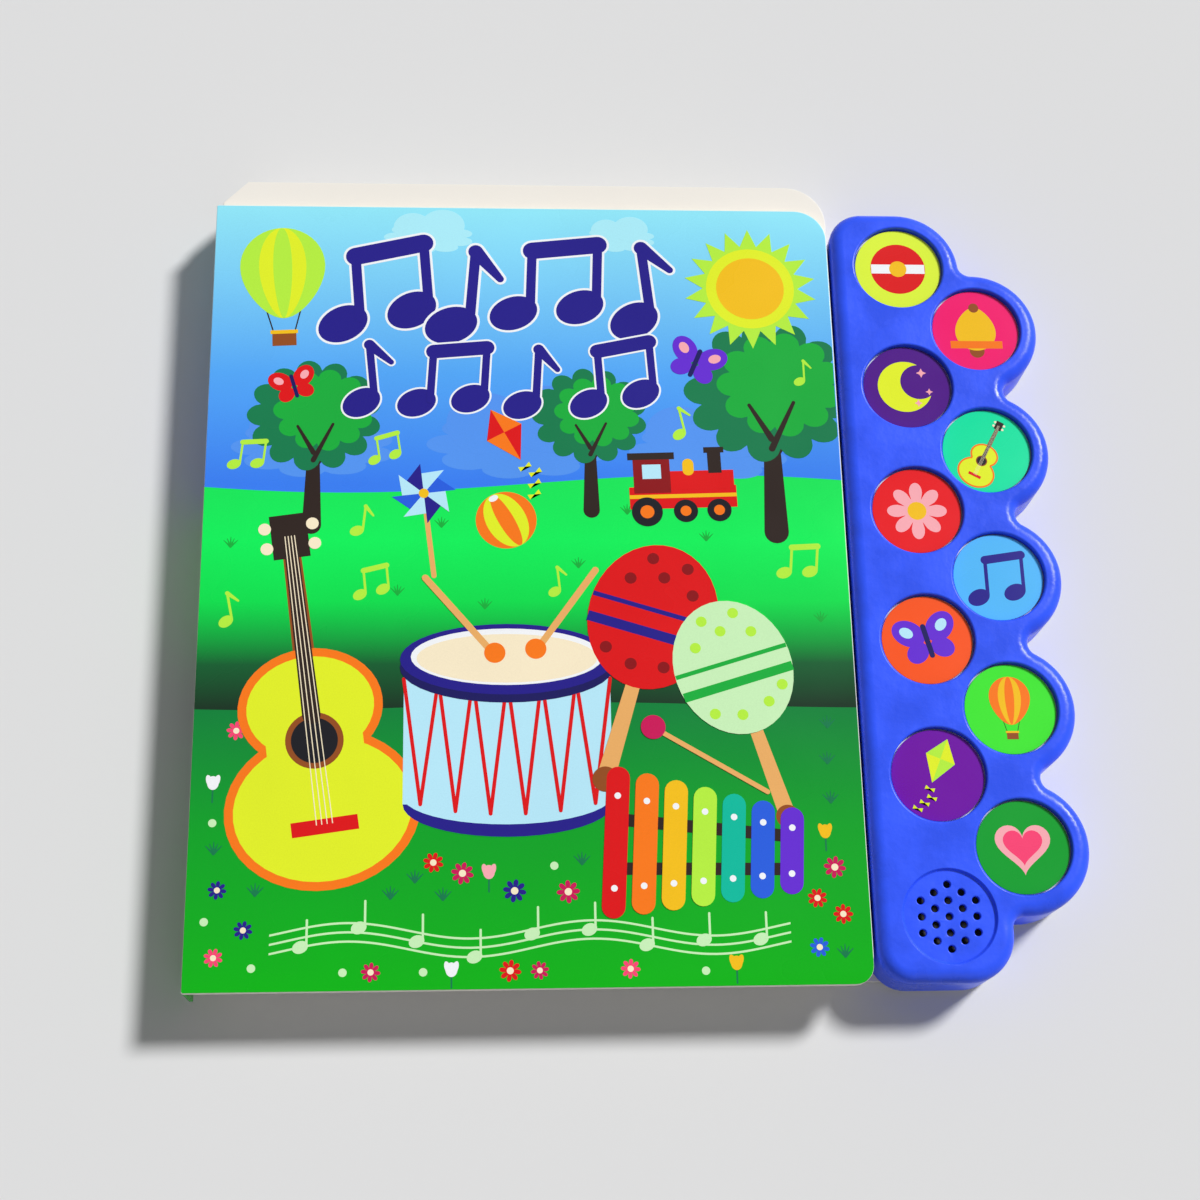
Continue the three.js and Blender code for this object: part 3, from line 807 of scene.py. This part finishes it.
def train():
    shapes = [
        (block(0, 0, 32, 7), "red"), (block(-9, 7, 11, 11), "dark_red"), (block(-9, 13.4, 14, 2.2), "bark"),
        (block(-9, 8.4, 5.6, 4.6), "pale_blue"), (block(6, 5.4, 19, 6), "red"), (block(10, 11, 4, 7), "bark"),
        (block(10, 15, 6, 1.8), "bark"), (bar(2, 8.6, 2, 10.6, 3.4), "gold"),
        (block(0, 0.4, 32, 1.2), "gold"),
    ]
    for x, size in ((-11, 4.6), (0.5, 3.6), (10.5, 3.6)):
        shapes += [(ellipse(x, -4.4, size), "black"), (ellipse(x, -4.4, size * 0.45), "orange")]
    return shapes


def pinwheel():
    shapes = [(bar(0, -26, 0, 0, 1.5), "tan")]
    for i, tint in enumerate(("mid_blue", "pale_blue", "navy", "pale_blue") * 2):
        shapes.append((turned([(0, 0), (9.5, 0), (6.4 * math.cos(0.78), 6.4 * math.sin(0.78))],
                              0, 0, math.pi / 4 * i), tint))
    return shapes + [(ellipse(0, 0, 1.5, count=20), "gold")]


def butterfly(wing="purple", spot="pale_pink"):
    shapes = []
    for side in (-1, 1):
        shapes += [
            (ellipse(side * 3.4, 2.2, 3.6, 2.7, side * 0.7), wing),
            (ellipse(side * 2.7, -2.2, 2.5, 2.1, -side * 0.6), wing),
            (ellipse(side * 3.8, 2.5, 1.5, 1.1, side * 0.7, 16), spot),
        ]
    return shapes + [(bar(0, -3.4, 0, 3, 1.1), "navy_deep")]


def tuft(tint="deep_green"):
    return [(bar(0, 0, x, 3.6 - abs(x) * 0.5, 0.8, 0.2), tint) for x in (-2.4, -1.2, 0, 1.2, 2.4)]


def stave():
    """Three wavy lines with small notes on them."""
    def wave(x):
        return 2.2 * math.sin(2 * math.pi * x / 64)
    shapes = []
    places = range(-68, 69, 2)
    for line in (-2.4, 0, 2.4):
        top, bottom = ([(x, line + wave(x) + side * 0.28) for x in places] for side in (1, -1))
        shapes.append((top + bottom[::-1], "pale_lime"))
    for i, x in enumerate(range(-60, 61, 15)):
        y = wave(x) + (-2.4, 1.2, 0.0)[i % 3]
        shapes += [
            (ellipse(x, y, 2.1, 1.6, 0.4, 20), "pale_lime"),
            (bar(x + 1.6, y, x + 1.6, y + 7, 0.6), "pale_lime"),
        ]
    return shapes


def placed(motif, x, y, scale=1.0, turn=0.0):
    return [(turned(points, x, y, turn, scale), tint) for points, tint in motif]


def clipped(points, low, high):
    """The part of an outline inside a rectangle."""
    for axis, limit, side in ((0, low[0], 1), (0, high[0], -1), (1, low[1], 1), (1, high[1], -1)):
        kept = []
        for here, following in zip(points, points[1:] + points[:1]):
            inside = (here[axis] - limit) * side >= 0
            if inside:
                kept.append(here)
            if inside != ((following[axis] - limit) * side >= 0):
                share = (limit - here[axis]) / (following[axis] - here[axis])
                kept.append(tuple(a + share * (b - a) for a, b in zip(here, following)))
        points = kept
        if not points:
            break
    return points


def layer_above(points, laid):
    """The lowest layer in which a shape clears all those laid before it."""
    across, up = [x for x, _ in points], [y for _, y in points]
    left, foot, right, head = min(across), min(up), max(across), max(up)
    layer = 0
    for (other_left, other_foot, other_right, other_head), under in laid:
        if left < other_right and other_left < right and foot < other_head and other_foot < head:
            layer = max(layer, under + 1)
    laid.append(((left, foot, right, head), layer))
    return layer


def ink_field(name, points, tint, origin, surface, height):
    """A flat field of one ink, from the surface up."""
    curve = bpy.data.curves.new(name, "CURVE")
    curve.dimensions = "2D"
    curve.fill_mode = "BOTH"
    spline = curve.splines.new("POLY")
    spline.points.add(len(points) - 1)
    for point, (x, y) in zip(spline.points, points):
        point.co = (origin.x + x * MM, origin.y + y * MM, 0, 1)
    spline.use_cyclic_u = True
    curve.extrude = height / 2
    curve.materials.append(ink(tint))
    field = bpy.data.objects.new(name, curve)
    field.location.z = surface + height / 2
    bpy.context.collection.objects.link(field)
    return field


def printed_piece(name, motifs, origin, surface, laid, trim=None):
    """One mesh of thin ink fields on a surface; a later shape lies on the earlier ones that it meets.

    Nothing is printed beyond trim, the lower and upper corner of a rectangle.
    """
    size = sizes()
    fields = []
    for points, tint in [shape for motif in motifs for shape in motif]:
        if trim:
            points = clipped(points, *trim)
        if len(points) > 2:
            height = size.ink + size.ink_step * layer_above(points, laid)
            fields.append(ink_field(name, points, tint, origin, surface, height))
    select_all_of(fields)
    bpy.ops.object.convert(target="MESH")
    bpy.ops.object.transform_apply(location=True, rotation=True, scale=True)
    return merge(name, list(bpy.context.selected_objects))


def use_materials(obj, *materials):
    obj.data.materials.clear()
    for material in materials:
        obj.data.materials.append(material)


# Operators

class SOUNDBOOK_OT_boards(bpy.types.Operator):
    """Models the front cover, spine and back cover as laminated boards with raw cut edges"""
    bl_idname = "soundbook.boards"
    bl_label = "Boards"

    def execute(self, context):
        size, look = sizes(), colours()
        raw = grouped_material(
            "raw_board", "Board Fibre", look.raw_board, bump=0.0001, depth=0.09, roughness=0.85)
        landscape_print = grouped_material(
            "cover_landscape", "Printed Surface", landscape, bump=0.00004, grain=0.035, gloss=0.27)
        inside = grouped_material(
            "inner_print", "Printed Surface", look.leaf, bump=0.00003, grain=0.02, gloss=0.4)
        back_print = grouped_material(
            "back_print", "Printed Surface", look.back, bump=0.00004, grain=0.04, gloss=0.3)

        cover = board_solid("front_board", COVER_LOW, COVER_HIGH, *COVER_CORNERS)
        self.finish(cover, "front_board", "front_cover", "cover_print", (landscape_print, raw, inside))

        strip = block_solid("spine_strip", *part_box("spine"))
        bevel(strip, size.board_edge)
        smooth(strip)
        use_materials(strip, landscape_print)
        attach(strip, "leaves")
        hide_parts("spine")

        board = board_solid(
            "back_board", Vector((BACK_LOW.x, LEAVES_LOW.y, BACK_LOW.z)),
            Vector((LEAVES_HIGH.x, LEAVES_HIGH.y, BACK_HIGH.z)), *LEAF_CORNERS)
        inset = 1 * MM
        under = outline_solid("under_module", module_outline(inset), BACK_LOW.z, BACK_HIGH.z)
        bridge = block_solid(
            "bridge", (0, LEAVES_LOW.y, BACK_LOW.z),
            (SHELL_LOW.x + LEFT_CORNER + inset, SHELL_HIGH.y - inset, BACK_HIGH.z))
        margin = Vector((1, 1, 1)) * MM
        window = block_solid(
            "window", DOOR_LOW - margin, Vector((DOOR_HIGH.x, DOOR_HIGH.y, BACK_HIGH.z)) + margin)
        combine(board, under, "UNION")
        combine(board, bridge, "UNION")
        combine(board, window, "DIFFERENCE")
        self.finish(board, "base", "back_cover", "back_print", (inside, raw, back_print))
        return {"FINISHED"}

    def finish(self, board, body, node, slot, materials):
        bevel(board, sizes().board_edge)
        smooth(board)
        use_materials(board, *materials)
        for face in board.data.polygons:
            face.material_index = 0 if face.normal.z > FLAT else 2 if face.normal.z < -FLAT else 1
        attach(board, body)
        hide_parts(node)


class SOUNDBOOK_OT_leaves(bpy.types.Operator):
    """Models the stack of thick board leaves, each a little out of line with the next"""
    bl_idname = "soundbook.leaves"
    bl_label = "Leaves"

    def execute(self, context):
        size, look = sizes(), colours()
        count = 6
        gap = 0.12 * MM
        pitch = (LEAVES_HIGH.z - LEAVES_LOW.z) / count
        shifts = random.Random(4)
        made = []
        for index in range(count):
            slip = Vector((shifts.uniform(-1, 0), shifts.uniform(-1, 0), 0)) * size.leaf_shift
            foot = LEAVES_LOW.z + index * pitch + gap / 2
            leaf = board_solid(
                f"leaf_{index}", Vector((LEAVES_LOW.x, LEAVES_LOW.y, foot)),
                Vector((LEAVES_HIGH.x, LEAVES_HIGH.y, foot + pitch - gap)) + slip, *LEAF_CORNERS)
            bevel(leaf, size.leaf_edge)
            made.append(leaf)
        stack = merge("leaf_stack", made)
        smooth(stack)
        face = grouped_material(
            "leaf_face", "Printed Surface", look.leaf, bump=0.00003, grain=0.015, gloss=0.45)
        edge = grouped_material(
            "leaf_edge", "Board Fibre", look.raw_board, bump=0.00012, depth=0.1, roughness=0.9)
        use_materials(stack, face, edge)
        for polygon in stack.data.polygons:
            polygon.material_index = 0 if abs(polygon.normal.z) > FLAT else 1
        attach(stack, "leaves")
        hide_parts("page_block")
        return {"FINISHED"}


class SOUNDBOOK_OT_cover_print(bpy.types.Operator):
    """Prints the cover's generic picture: sky and meadow motifs and toy instruments"""
    bl_idname = "soundbook.cover_print"
    bl_label = "Cover print"

    def execute(self, context):
        origin = Vector((COVER_LOW.x, COVER_LOW.y, 0))
        # Each place is across, up and scale, and the turn where there is one
        title = (
            (note_pair, 48, 203, 2.5, 0.08), (note_single, 73, 201, 2.6, -0.08),
            (note_pair, 98, 205, 2.4, -0.04), (note_single, 124, 203, 2.5, 0.1),
            (note_single, 45, 174, 1.9, 0.1), (note_pair, 68, 174, 1.9, -0.06),
            (note_single, 92, 173, 1.9, -0.06), (note_pair, 116, 175, 1.9, 0.06))
        small_notes = (
            (note_pair, 12, 150, 0.8, -0.1), (note_single, 134, 160, 0.85, 0.2),
            (note_single, 170, 176, 0.7), (note_pair, 50, 152, 0.75, 0.15),
            (note_single, 44, 130, 0.8, -0.1), (note_pair, 47, 112, 0.8, 0.1),
            (note_single, 8, 104, 0.85, 0.2), (note_pair, 166, 118, 0.9, -0.1),
            (note_single, 98, 112, 0.75, 0.1))
        trees = ((30, 148, 1.15), (108, 150, 1.0), (160, 152, 1.5))
        tufts = ((66, 128), (104, 116), (54, 108), (140, 124), (171, 100), (8, 122), (118, 132), (78, 104))
        pieces = {
            "print_sky": [
                placed(cloud(), 62, 219, 0.8), placed(cloud(), 118, 219, 0.65),
                placed(cloud("bank"), 30, 152, 1.4), placed(cloud("bank"), 88, 153, 1.6),
                placed(cloud("bank"), 142, 151, 1.4),
            ],
            "print_trees": [placed(broad_tree(), *place) for place in trees],
            "print_title_notes": [
                placed(note("navy", ("white", 0.28), 1.2), *place) for note, *place in title],
            "print_flying": [
                placed(balloon("lime", "yellow"), 20, 203, 0.98, 0.05), placed(sun(), 156, 203),
                placed(butterfly("red"), 24, 171, 1.0, 0.3), placed(butterfly(), 139, 179, 1.25, -0.4),
                placed(kite(), 84, 156, 0.8, 0.5), *(placed(note(), *place) for note, *place in small_notes),
            ],
            "print_far": [placed(tuft("leaf_green"), x, y, 0.8) for x, y in tufts],
            "print_yard": [
                placed(pinwheel(), 61, 138, 0.95, 0.12), placed(ball(), 84, 130, 1.0, 0.5),
                placed(train(), 134, 137, 0.95, 0.03),
            ],
            "print_meadow": self.meadow(),
            "print_toys": [
                placed(ukulele(), 33, 62, 1.18, 0.14), placed(drum(), 84, 68, 1.12),
                placed(maraca(), 122, 94, 1.12, -0.3),
                placed(maraca("pale_lime", "leaf_green", "lime"), 148, 80, 1.02, 0.3),
                placed(xylophone(), 136, 37, 1.12, -0.06),
            ],
        }
        laid = []
        bleed = 0.4
        width, height = (COVER_HIGH.x - COVER_LOW.x) / MM, (COVER_HIGH.y - COVER_LOW.y) / MM
        trim = ((bleed, bleed), (width - bleed, height - bleed))
        for name, motifs in pieces.items():
            piece = printed_piece(name, motifs, origin, COVER_HIGH.z, laid, trim)
            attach(piece, "front_board")
        return {"FINISHED"}

    def meadow(self):
        """The stave, and flowers, tufts and dots strewn where the toys leave room."""
        draw = random.Random(11)
        tries, most, reach_of_one = 1500, 84, 7
        motifs = [placed(stave(), 90, 13)]
        # Rounds that are taken, each a place and how near to it nothing else may stand
        taken = [(34, 48, 28), (34, 88, 20), (84, 64, 34), (122, 74, 22), (144, 60, 26), (136, 36, 30)]
        for _ in range(tries):
            if len(motifs) == most:
                break
            x, y = draw.uniform(5, 174), draw.uniform(4, 72)
            on_stave = 20 < x < 160 and 5 < y < 23
            if on_stave or any(math.dist((x, y), (a, b)) < reach for a, b, reach in taken):
                continue
            taken.append((x, y, reach_of_one))
            kind, turn = draw.random(), draw.uniform(0, 1)
            if kind < 0.4:
                petal_ink = ("red", "pink", "navy", "mid_blue", "berry")[len(taken) % 5]
                motifs.append(placed(flower(petal_ink, "cream"), x, y, draw.uniform(0.8, 1.05), turn))
            elif kind < 0.6:
                motifs.append(placed(tulip(("pale_pink", "white", "gold")[len(taken) % 3]), x, y, 0.9))
            elif kind < 0.78:
                motifs.append(placed(tuft(), x, y, 0.9))
            else:
                motifs.append([(ellipse(x, y, 1.1, count=16), "pale_lime")])
        return motifs


class SOUNDBOOK_OT_module_shell(bpy.types.Operator):
    """Models the module's upper shell: scalloped, hollow, with button holes and a dished grille"""
    bl_idname = "soundbook.module_shell"
    bl_label = "Module shell"

    def execute(self, context):
        size, look = sizes(), colours()
        top = SHELL_HIGH.z
        shell = outline_solid("shell_top", module_outline(0), SHELL_LOW.z, top - size.shell_edge)
        raise_rounded(shell, size.shell_edge, steps=8)
        below = SHELL_LOW.z - 1 * MM
        cavity = outline_solid("cavity", module_outline(size.shell_wall), below, top - size.shell_wall)
        combine(shell, cavity, "DIFFERENCE")
        hole = self.flared(BUTTONS[1], size.hole_radius, top, size.rim_width, count=72)
        cutters = [hole, self.dish(top)]
        for number in BUTTON_NUMBERS[1:]:
            cutters.append(copy_moved(hole, "cutter", BUTTONS[number] - BUTTONS[1]))
        combine(shell, merge("cutters", cutters), "DIFFERENCE")
        combine(shell, merge("grille", self.grille(top - size.dish_depth)), "DIFFERENCE")
        smooth(shell, degrees=30)
        use_materials(shell, grouped_material(
            "blue_plastic", "Moulded Plastic", look.shell, bump=0.00014, cloud=0.1, roughness=0.3))
        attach(shell, "base")
        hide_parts("module_top_shell")
        return {"FINISHED"}

    def flared(self, centre, radius, top, rim, count, depth=4 * MM):
        """A cutter for a round hole whose upper edge is eased by a small curve."""
        cutter = round_solid("cutter", centre, radius, top - depth, top - rim, count)
        rings = [(radius + rim * (1 - math.cos(a)), rim * math.sin(a)) for a in quarter_turn(4)]
        raise_rings(cutter, centre, rings + [(rings[-1][0], rings[-1][1] + depth)])
        return cutter

    def dish(self, top):
        """A shallow cutter with a sloping, softly turned side."""
        size = sizes()
        slope, steps, start = 0.9 * MM, 6, 0.01 * MM
        radius, floor = size.dish_radius - slope, top - size.dish_depth
        cutter = round_solid("dish", SPEAKER, radius, floor, floor + start)
        rings = []
        for step in range(steps + 1):
            share = step / steps
            rings.append((radius + slope * share, size.dish_depth * (1 - math.cos(math.pi * share)) / 2))
        raise_rings(cutter, SPEAKER, rings + [(size.dish_radius, 2 * size.dish_depth)])
        return cutter

    def grille(self, floor):
        pitch, radius, reach = 4.3 * MM, 1.0 * MM, 2
        middle = self.flared(SPEAKER, radius, floor, rim=0.35 * MM, count=20, depth=3 * MM)
        cutters = [middle]
        for column in range(-reach, reach + 1):
            count = 2 * reach + 1 - abs(column)
            for i in range(count):
                offset = Vector((column * math.cos(math.pi / 6), i - (count - 1) / 2, 0)) * pitch
                if offset.length > 0:
                    cutters.append(copy_moved(middle, "cutter", offset))
        return cutters


class SOUNDBOOK_OT_buttons(bpy.types.Operator):
    """Models the round caps and the printed discs on them, each with its own small picture"""
    bl_idname = "soundbook.buttons"
    bl_label = "Buttons"

    grounds = {
        1: srgb(226, 250, 62), 2: srgb(250, 20, 112), 3: srgb(78, 0, 134), 4: srgb(0, 232, 164),
        5: srgb(238, 18, 28), 6: srgb(84, 188, 252), 7: srgb(255, 88, 28), 8: srgb(64, 236, 48),
        9: srgb(112, 0, 164), 10: srgb(0, 160, 44),
    }

    def pictures(self):
        stripes = [(ellipse(0, 0, 8.2), "red"), (block(0, 0, 16, 3), "white"), (ellipse(0, 0, 2.6), "gold")]
        moon = [(crescent(-0.6, 0.2, 8, 0.55, 0.35), "yellow")]
        for x, y, radius in ((4.4, 4.6, 1.5), (6.4, -1.4, 1.1), (3, -5, 1.2)):
            moon.append((star(x, y, radius, radius * 0.45, 4), "pale_pink"))
        bell = [
            (ellipse(0, -6.6, 2.2), "brown"), (drop(0, 0.5, 13, 14, math.pi), "gold"),
            (block(0, -4.6, 15.4, 2.4), "orange"), (ellipse(0, 7.4, 1.5), "brown"),
        ]
        return {
            1: stripes, 2: bell, 3: moon, 4: placed(ukulele(), -2.2, -3.9, 0.25, -0.5),
            5: flower("pale_pink", "gold", 8.6), 6: placed(note_pair("navy"), 0, 0, 1.3),
            7: placed(butterfly("purple", "pale_blue"), 0, 0, 1.35, 0.25),
            8: placed(balloon("orange", "gold"), 0, 0.6, 0.46),
            9: placed(kite("lime", "yellow"), 0.8, 4.0, 0.6, -0.4),
            10: [(heart(0, 0.4, 7.6), "pale_pink"), (heart(0, 0.6, 5.4), "pink")],
        }

    def execute(self, context):
        size, look = sizes(), colours()
        cap_plastic = grouped_material(
            "cap_plastic", "Moulded Plastic", look.cap, bump=0.00005, cloud=0.03, roughness=0.35)
        pictures = self.pictures()
        low, high = corners("button_1")
        label_low, label_high = corners("button_label_1")
        flange, flange_top = (high.x - low.x) / 2, low.z + 1 * MM
        disc_margin, disc_gap, disc_edge = 0.45 * MM, 0.05 * MM, 0.06 * MM
        disc_radius = (label_high.x - label_low.x) / 2 + disc_margin
        cap_radius = disc_radius + disc_gap

        cap_model = round_solid("cap_model", BUTTONS[1], flange, low.z, flange_top)
        select_top(cap_model)
        bpy.ops.mesh.inset(thickness=flange - cap_radius)
        extrude_up(high.z - flange_top)
        leave_edit()
        bevel(cap_model, size.cap_edge)
        smooth(cap_model)
        use_materials(cap_model, cap_plastic)

        disc_model = round_solid("disc_model", BUTTONS[1], disc_radius, label_low.z, label_high.z)
        bevel(disc_model, disc_edge)
        smooth(disc_model)

        for number in BUTTON_NUMBERS:
            body = f"button_body_{number}"
            offset = BUTTONS[number] - BUTTONS[1]
            cap = copy_moved(cap_model, f"cap_{number}", offset)
            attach(cap, body)
            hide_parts(f"button_{number}")

            disc = copy_moved(disc_model, f"disc_{number}", offset)
            use_materials(disc, grouped_material(
                f"disc_ground_{number}", "Printed Surface", self.grounds[number],
                bump=0.00003, grain=0.03, gloss=0.27))
            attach(disc, body)
            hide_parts(f"button_label_{number}")

            picture = printed_piece(
                f"disc_picture_{number}", [pictures[number]], BUTTONS[number], label_high.z, [])
            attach(picture, body)
        for model in (cap_model, disc_model):
            bpy.data.objects.remove(model, do_unlink=True)
        return {"FINISHED"}


class SOUNDBOOK_OT_inner_parts(bpy.types.Operator):
    """Gives the parts inside the module and under it their materials"""
    bl_idname = "soundbook.inner_parts"
    bl_label = "Inner parts"

    finishes = {
        "blue_shell": (srgb(62, 98, 252), 0.3, 0.0), "circuit_laminate": (srgb(24, 104, 56), 0.4, 0.0),
        "black_resin": (srgb(22, 23, 26), 0.25, 0.0), "dome_rubber": (srgb(200, 204, 208), 0.7, 0.0),
        "plated_steel": (srgb(188, 190, 194), 0.3, 1.0), "screw_steel": (srgb(172, 174, 178), 0.35, 1.0),
        "magnet_steel": (srgb(62, 62, 68), 0.45, 1.0), "cone_film": (srgb(40, 40, 44), 0.6, 0.0),
        "red_wire": (srgb(194, 36, 43), 0.5, 0.0), "black_wire": (srgb(22, 23, 26), 0.5, 0.0),
    }

    def execute(self, context):
        for part in frame["record"]["subparts"]:
            slot = part["material_slot"]
            if slot in self.finishes:
                tint, rough, metallic = self.finishes[slot]
                name = f"inner_{slot}"
                material = bpy.data.materials.get(name) or grouped_material(
                    name, "Moulded Plastic", tint,
                    bump=0.00004, cloud=0.05, roughness=rough, metallic=metallic)
                use_materials(frame["nodes"][part["node"]], material)
        return {"FINISHED"}


# Strength of the world as light on the book, and where the camera or a reflection sees it
WORLD_LIGHT, WORLD_SHOWN = 0.17, 0.8
FLOOR_SIZE, FLOOR_GAP = 12, 0.1 * MM


class SOUNDBOOK_OT_stage(bpy.types.Operator):
    """Sets out the pale floor, the soft studio light and the camera"""
    bl_idname = "soundbook.stage"
    bl_label = "Stage"

    def execute(self, context):
        size, look = sizes(), colours()
        bpy.ops.object.select_all(action="DESELECT")
        bpy.ops.mesh.primitive_plane_add(size=FLOOR_SIZE, location=(0, 0, -FLOOR_GAP))
        floor = bpy.context.object
        floor.name = "floor"
        use_materials(floor, self.paper(look.floor))

        self.sun("key", (0.82, 0.66, 1.0), spread=math.radians(11), power=3.3)
        self.sun("fill", (0.3, -1.0, 0.9), spread=math.radians(40), power=0.2)

        world = bpy.data.worlds.new("studio")
        world.use_nodes = True
        tree = world.node_tree
        background = tree.nodes["Background"]
        background.inputs["Color"].default_value = (0.97, 0.98, 1.0, 1)
        path = add_node(tree, "LightPath").outputs
        shown = calculate(
            tree, "MAXIMUM", calculate(tree, "MAXIMUM", path["Is Camera Ray"], path["Is Glossy Ray"]),
            path["Is Transmission Ray"])
        strength = map_range(tree, shown, 0, 1, WORLD_LIGHT, WORLD_SHOWN)
        tree.links.new(strength, background.inputs["Strength"])
        context.scene.world = world

        data = bpy.data.cameras.new("camera")
        data.lens = size.camera_lens
        data.sensor_width = 36
        camera = bpy.data.objects.new("camera", data)
        camera.rotation_mode = "ZYX"
        camera.location = size.camera_place
        camera.rotation_euler = size.camera_turn
        context.collection.objects.link(camera)
        context.scene.camera = camera
        context.scene.view_settings.view_transform = "Standard"
        return {"FINISHED"}

    def paper(self, tint):
        """Matt paper that can't be seen from below, so that the underside of the book can be looked at."""
        material = bpy.data.materials.new("floor_paper")
        material.use_nodes = True
        tree = material.node_tree
        shader = tree.nodes["Principled BSDF"]
        shader.inputs["Base Color"].default_value = (*tint, 1)
        shader.inputs["Roughness"].default_value = 0.95
        shader.inputs["Specular IOR Level"].default_value = 0.1
        seen_from_below = add_node(tree, "NewGeometry").outputs["Backfacing"]
        clear = add_node(tree, "BsdfTransparent").outputs[0]
        sides = add_node(tree, "MixShader", seen_from_below, shader.outputs[0], clear)
        tree.links.new(sides.outputs[0], tree.nodes["Material Output"].inputs["Surface"])
        return material

    def sun(self, name, place, spread, power):
        data = bpy.data.lights.new(name, "SUN")
        data.angle = spread
        data.energy = power
        lamp = bpy.data.objects.new(name, data)
        lamp.location = place
        lamp.rotation_euler = (-Vector(place)).to_track_quat("-Z", "Y").to_euler()
        bpy.context.collection.objects.link(lamp)


PIECES = (
    SOUNDBOOK_OT_boards, SOUNDBOOK_OT_leaves, SOUNDBOOK_OT_cover_print, SOUNDBOOK_OT_module_shell,
    SOUNDBOOK_OT_buttons, SOUNDBOOK_OT_inner_parts, SOUNDBOOK_OT_stage,
)


class SOUNDBOOK_PT_sidebar(bpy.types.Panel):
    """Lists the pieces of the sound book and their settings"""
    bl_idname = "SOUNDBOOK_PT_sidebar"
    bl_label = "Sound Book"
    bl_space_type = "VIEW_3D"
    bl_region_type = "UI"
    bl_category = "Sound Book"

    def draw(self, context):
        for piece in PIECES:
            self.layout.operator(piece.bl_idname)
        for settings in (sizes(), colours()):
            for key in settings.__annotations__:
                self.layout.prop(settings, key)


CLASSES = (SoundBookSizes, SoundBookColours, *PIECES, SOUNDBOOK_PT_sidebar)


def register():
    for cls in CLASSES:
        bpy.utils.register_class(cls)
    bpy.types.Scene.sound_book_sizes = bpy.props.PointerProperty(type=SoundBookSizes)
    bpy.types.Scene.sound_book_colours = bpy.props.PointerProperty(type=SoundBookColours)


def unregister():
    del bpy.types.Scene.sound_book_colours
    del bpy.types.Scene.sound_book_sizes
    for cls in reversed(CLASSES):
        bpy.utils.unregister_class(cls)


def main():
    register()
    bpy.ops.soundbook.boards()
    bpy.ops.soundbook.leaves()
    bpy.ops.soundbook.cover_print()
    bpy.ops.soundbook.module_shell()
    bpy.ops.soundbook.buttons()
    bpy.ops.soundbook.inner_parts()
    bpy.ops.soundbook.stage()


if __name__ == "__main__":
    main()
